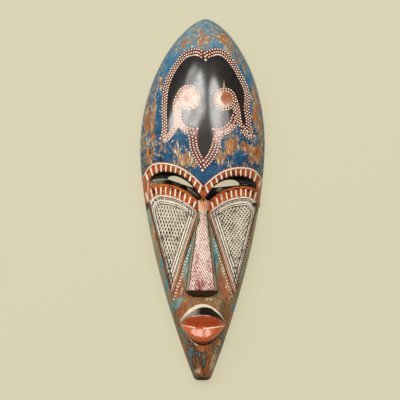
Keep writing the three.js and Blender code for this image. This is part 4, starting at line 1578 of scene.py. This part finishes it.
def lay_floor():
    """Pale studio paper, which is seen from above only."""
    bpy.ops.object.select_all(action="DESELECT")
    bpy.ops.mesh.primitive_plane_add(size=FLOOR_SIZE, location=(0, 0, -FLOOR_DROP))
    floor = bpy.context.object
    floor.name = "studio_floor"
    paper = Finish("pale studio paper")
    lit = paper.add("BsdfPrincipled", {
        "Base Color": linear("#5e5b4c"), "Roughness": 0.8, "Emission Color": linear("#cfc9aa"),
        "Emission Strength": 0.87,
    })
    clear = paper.add("BsdfTransparent")
    from_below = paper.add("NewGeometry", out="Backfacing")
    floor.data.materials.append(paper.show(paper.add("MixShader", {0: from_below, 1: lit, 2: clear})))
    return floor


def hang_softbox(name, middle, size, share):
    """Hangs an oval light. Its power is its glow times pi and its area."""
    wide, long = size
    light = bpy.data.lights.new("softbox " + name, "AREA")
    light.shape = "ELLIPSE"
    light.size = wide
    light.size_y = long
    light.color = SOFTBOX_COLOUR
    light.energy = share * GLOW * math.pi * wide * long * math.pi / 4
    lamp = bpy.data.objects.new(light.name, light)
    lamp.location = (*middle, SOFTBOX_Z)
    lamp.visible_camera = False
    bpy.context.collection.objects.link(lamp)


def set_camera():
    """A long lens from far away, so that the mask is drawn almost without perspective."""
    camera = bpy.data.cameras.new("camera")
    camera.sensor_width = SENSOR
    camera.lens = SENSOR * VIEW_FROM / FIELD
    camera.clip_end = 3 * VIEW_FROM * MM
    eye = bpy.data.objects.new("camera", camera)
    eye.location = (EYE[0] * MM, EYE[1] * MM, VIEW_FROM * MM)
    bpy.context.collection.objects.link(eye)
    bpy.context.scene.camera = eye


# The mask
mask = carve_block()
for name in ("front", "back", "slit wall"):
    mask.data.materials.append(bpy.data.materials.new(name))
for inner, outer, rise in SLITS:
    cut_slit(mask, inner, outer, rise)
finishes = painted_wood(write_fields(mask.data)), bare_wood(), slit_paint()
for i, material in enumerate(finishes):
    mask.data.materials[i] = material
only(mask)
bpy.ops.object.shade_smooth_by_angle(angle=math.radians(SMOOTH_BELOW))
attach(mask, "root")
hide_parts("mask")

dots = lay_dots()
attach(dots, "root")

# Floor, light and camera
floor = lay_floor()
for name, softbox in SOFTBOXES.items():
    hang_softbox(name, *softbox)

world = bpy.data.worlds.new("studio")
world.use_nodes = True
world.node_tree.nodes["Background"].inputs["Color"].default_value = SKY_COLOUR
world.node_tree.nodes["Background"].inputs["Strength"].default_value = SKY_STRENGTH
bpy.context.scene.world = world
set_camera()
bpy.context.scene.view_settings.view_transform = "Standard"
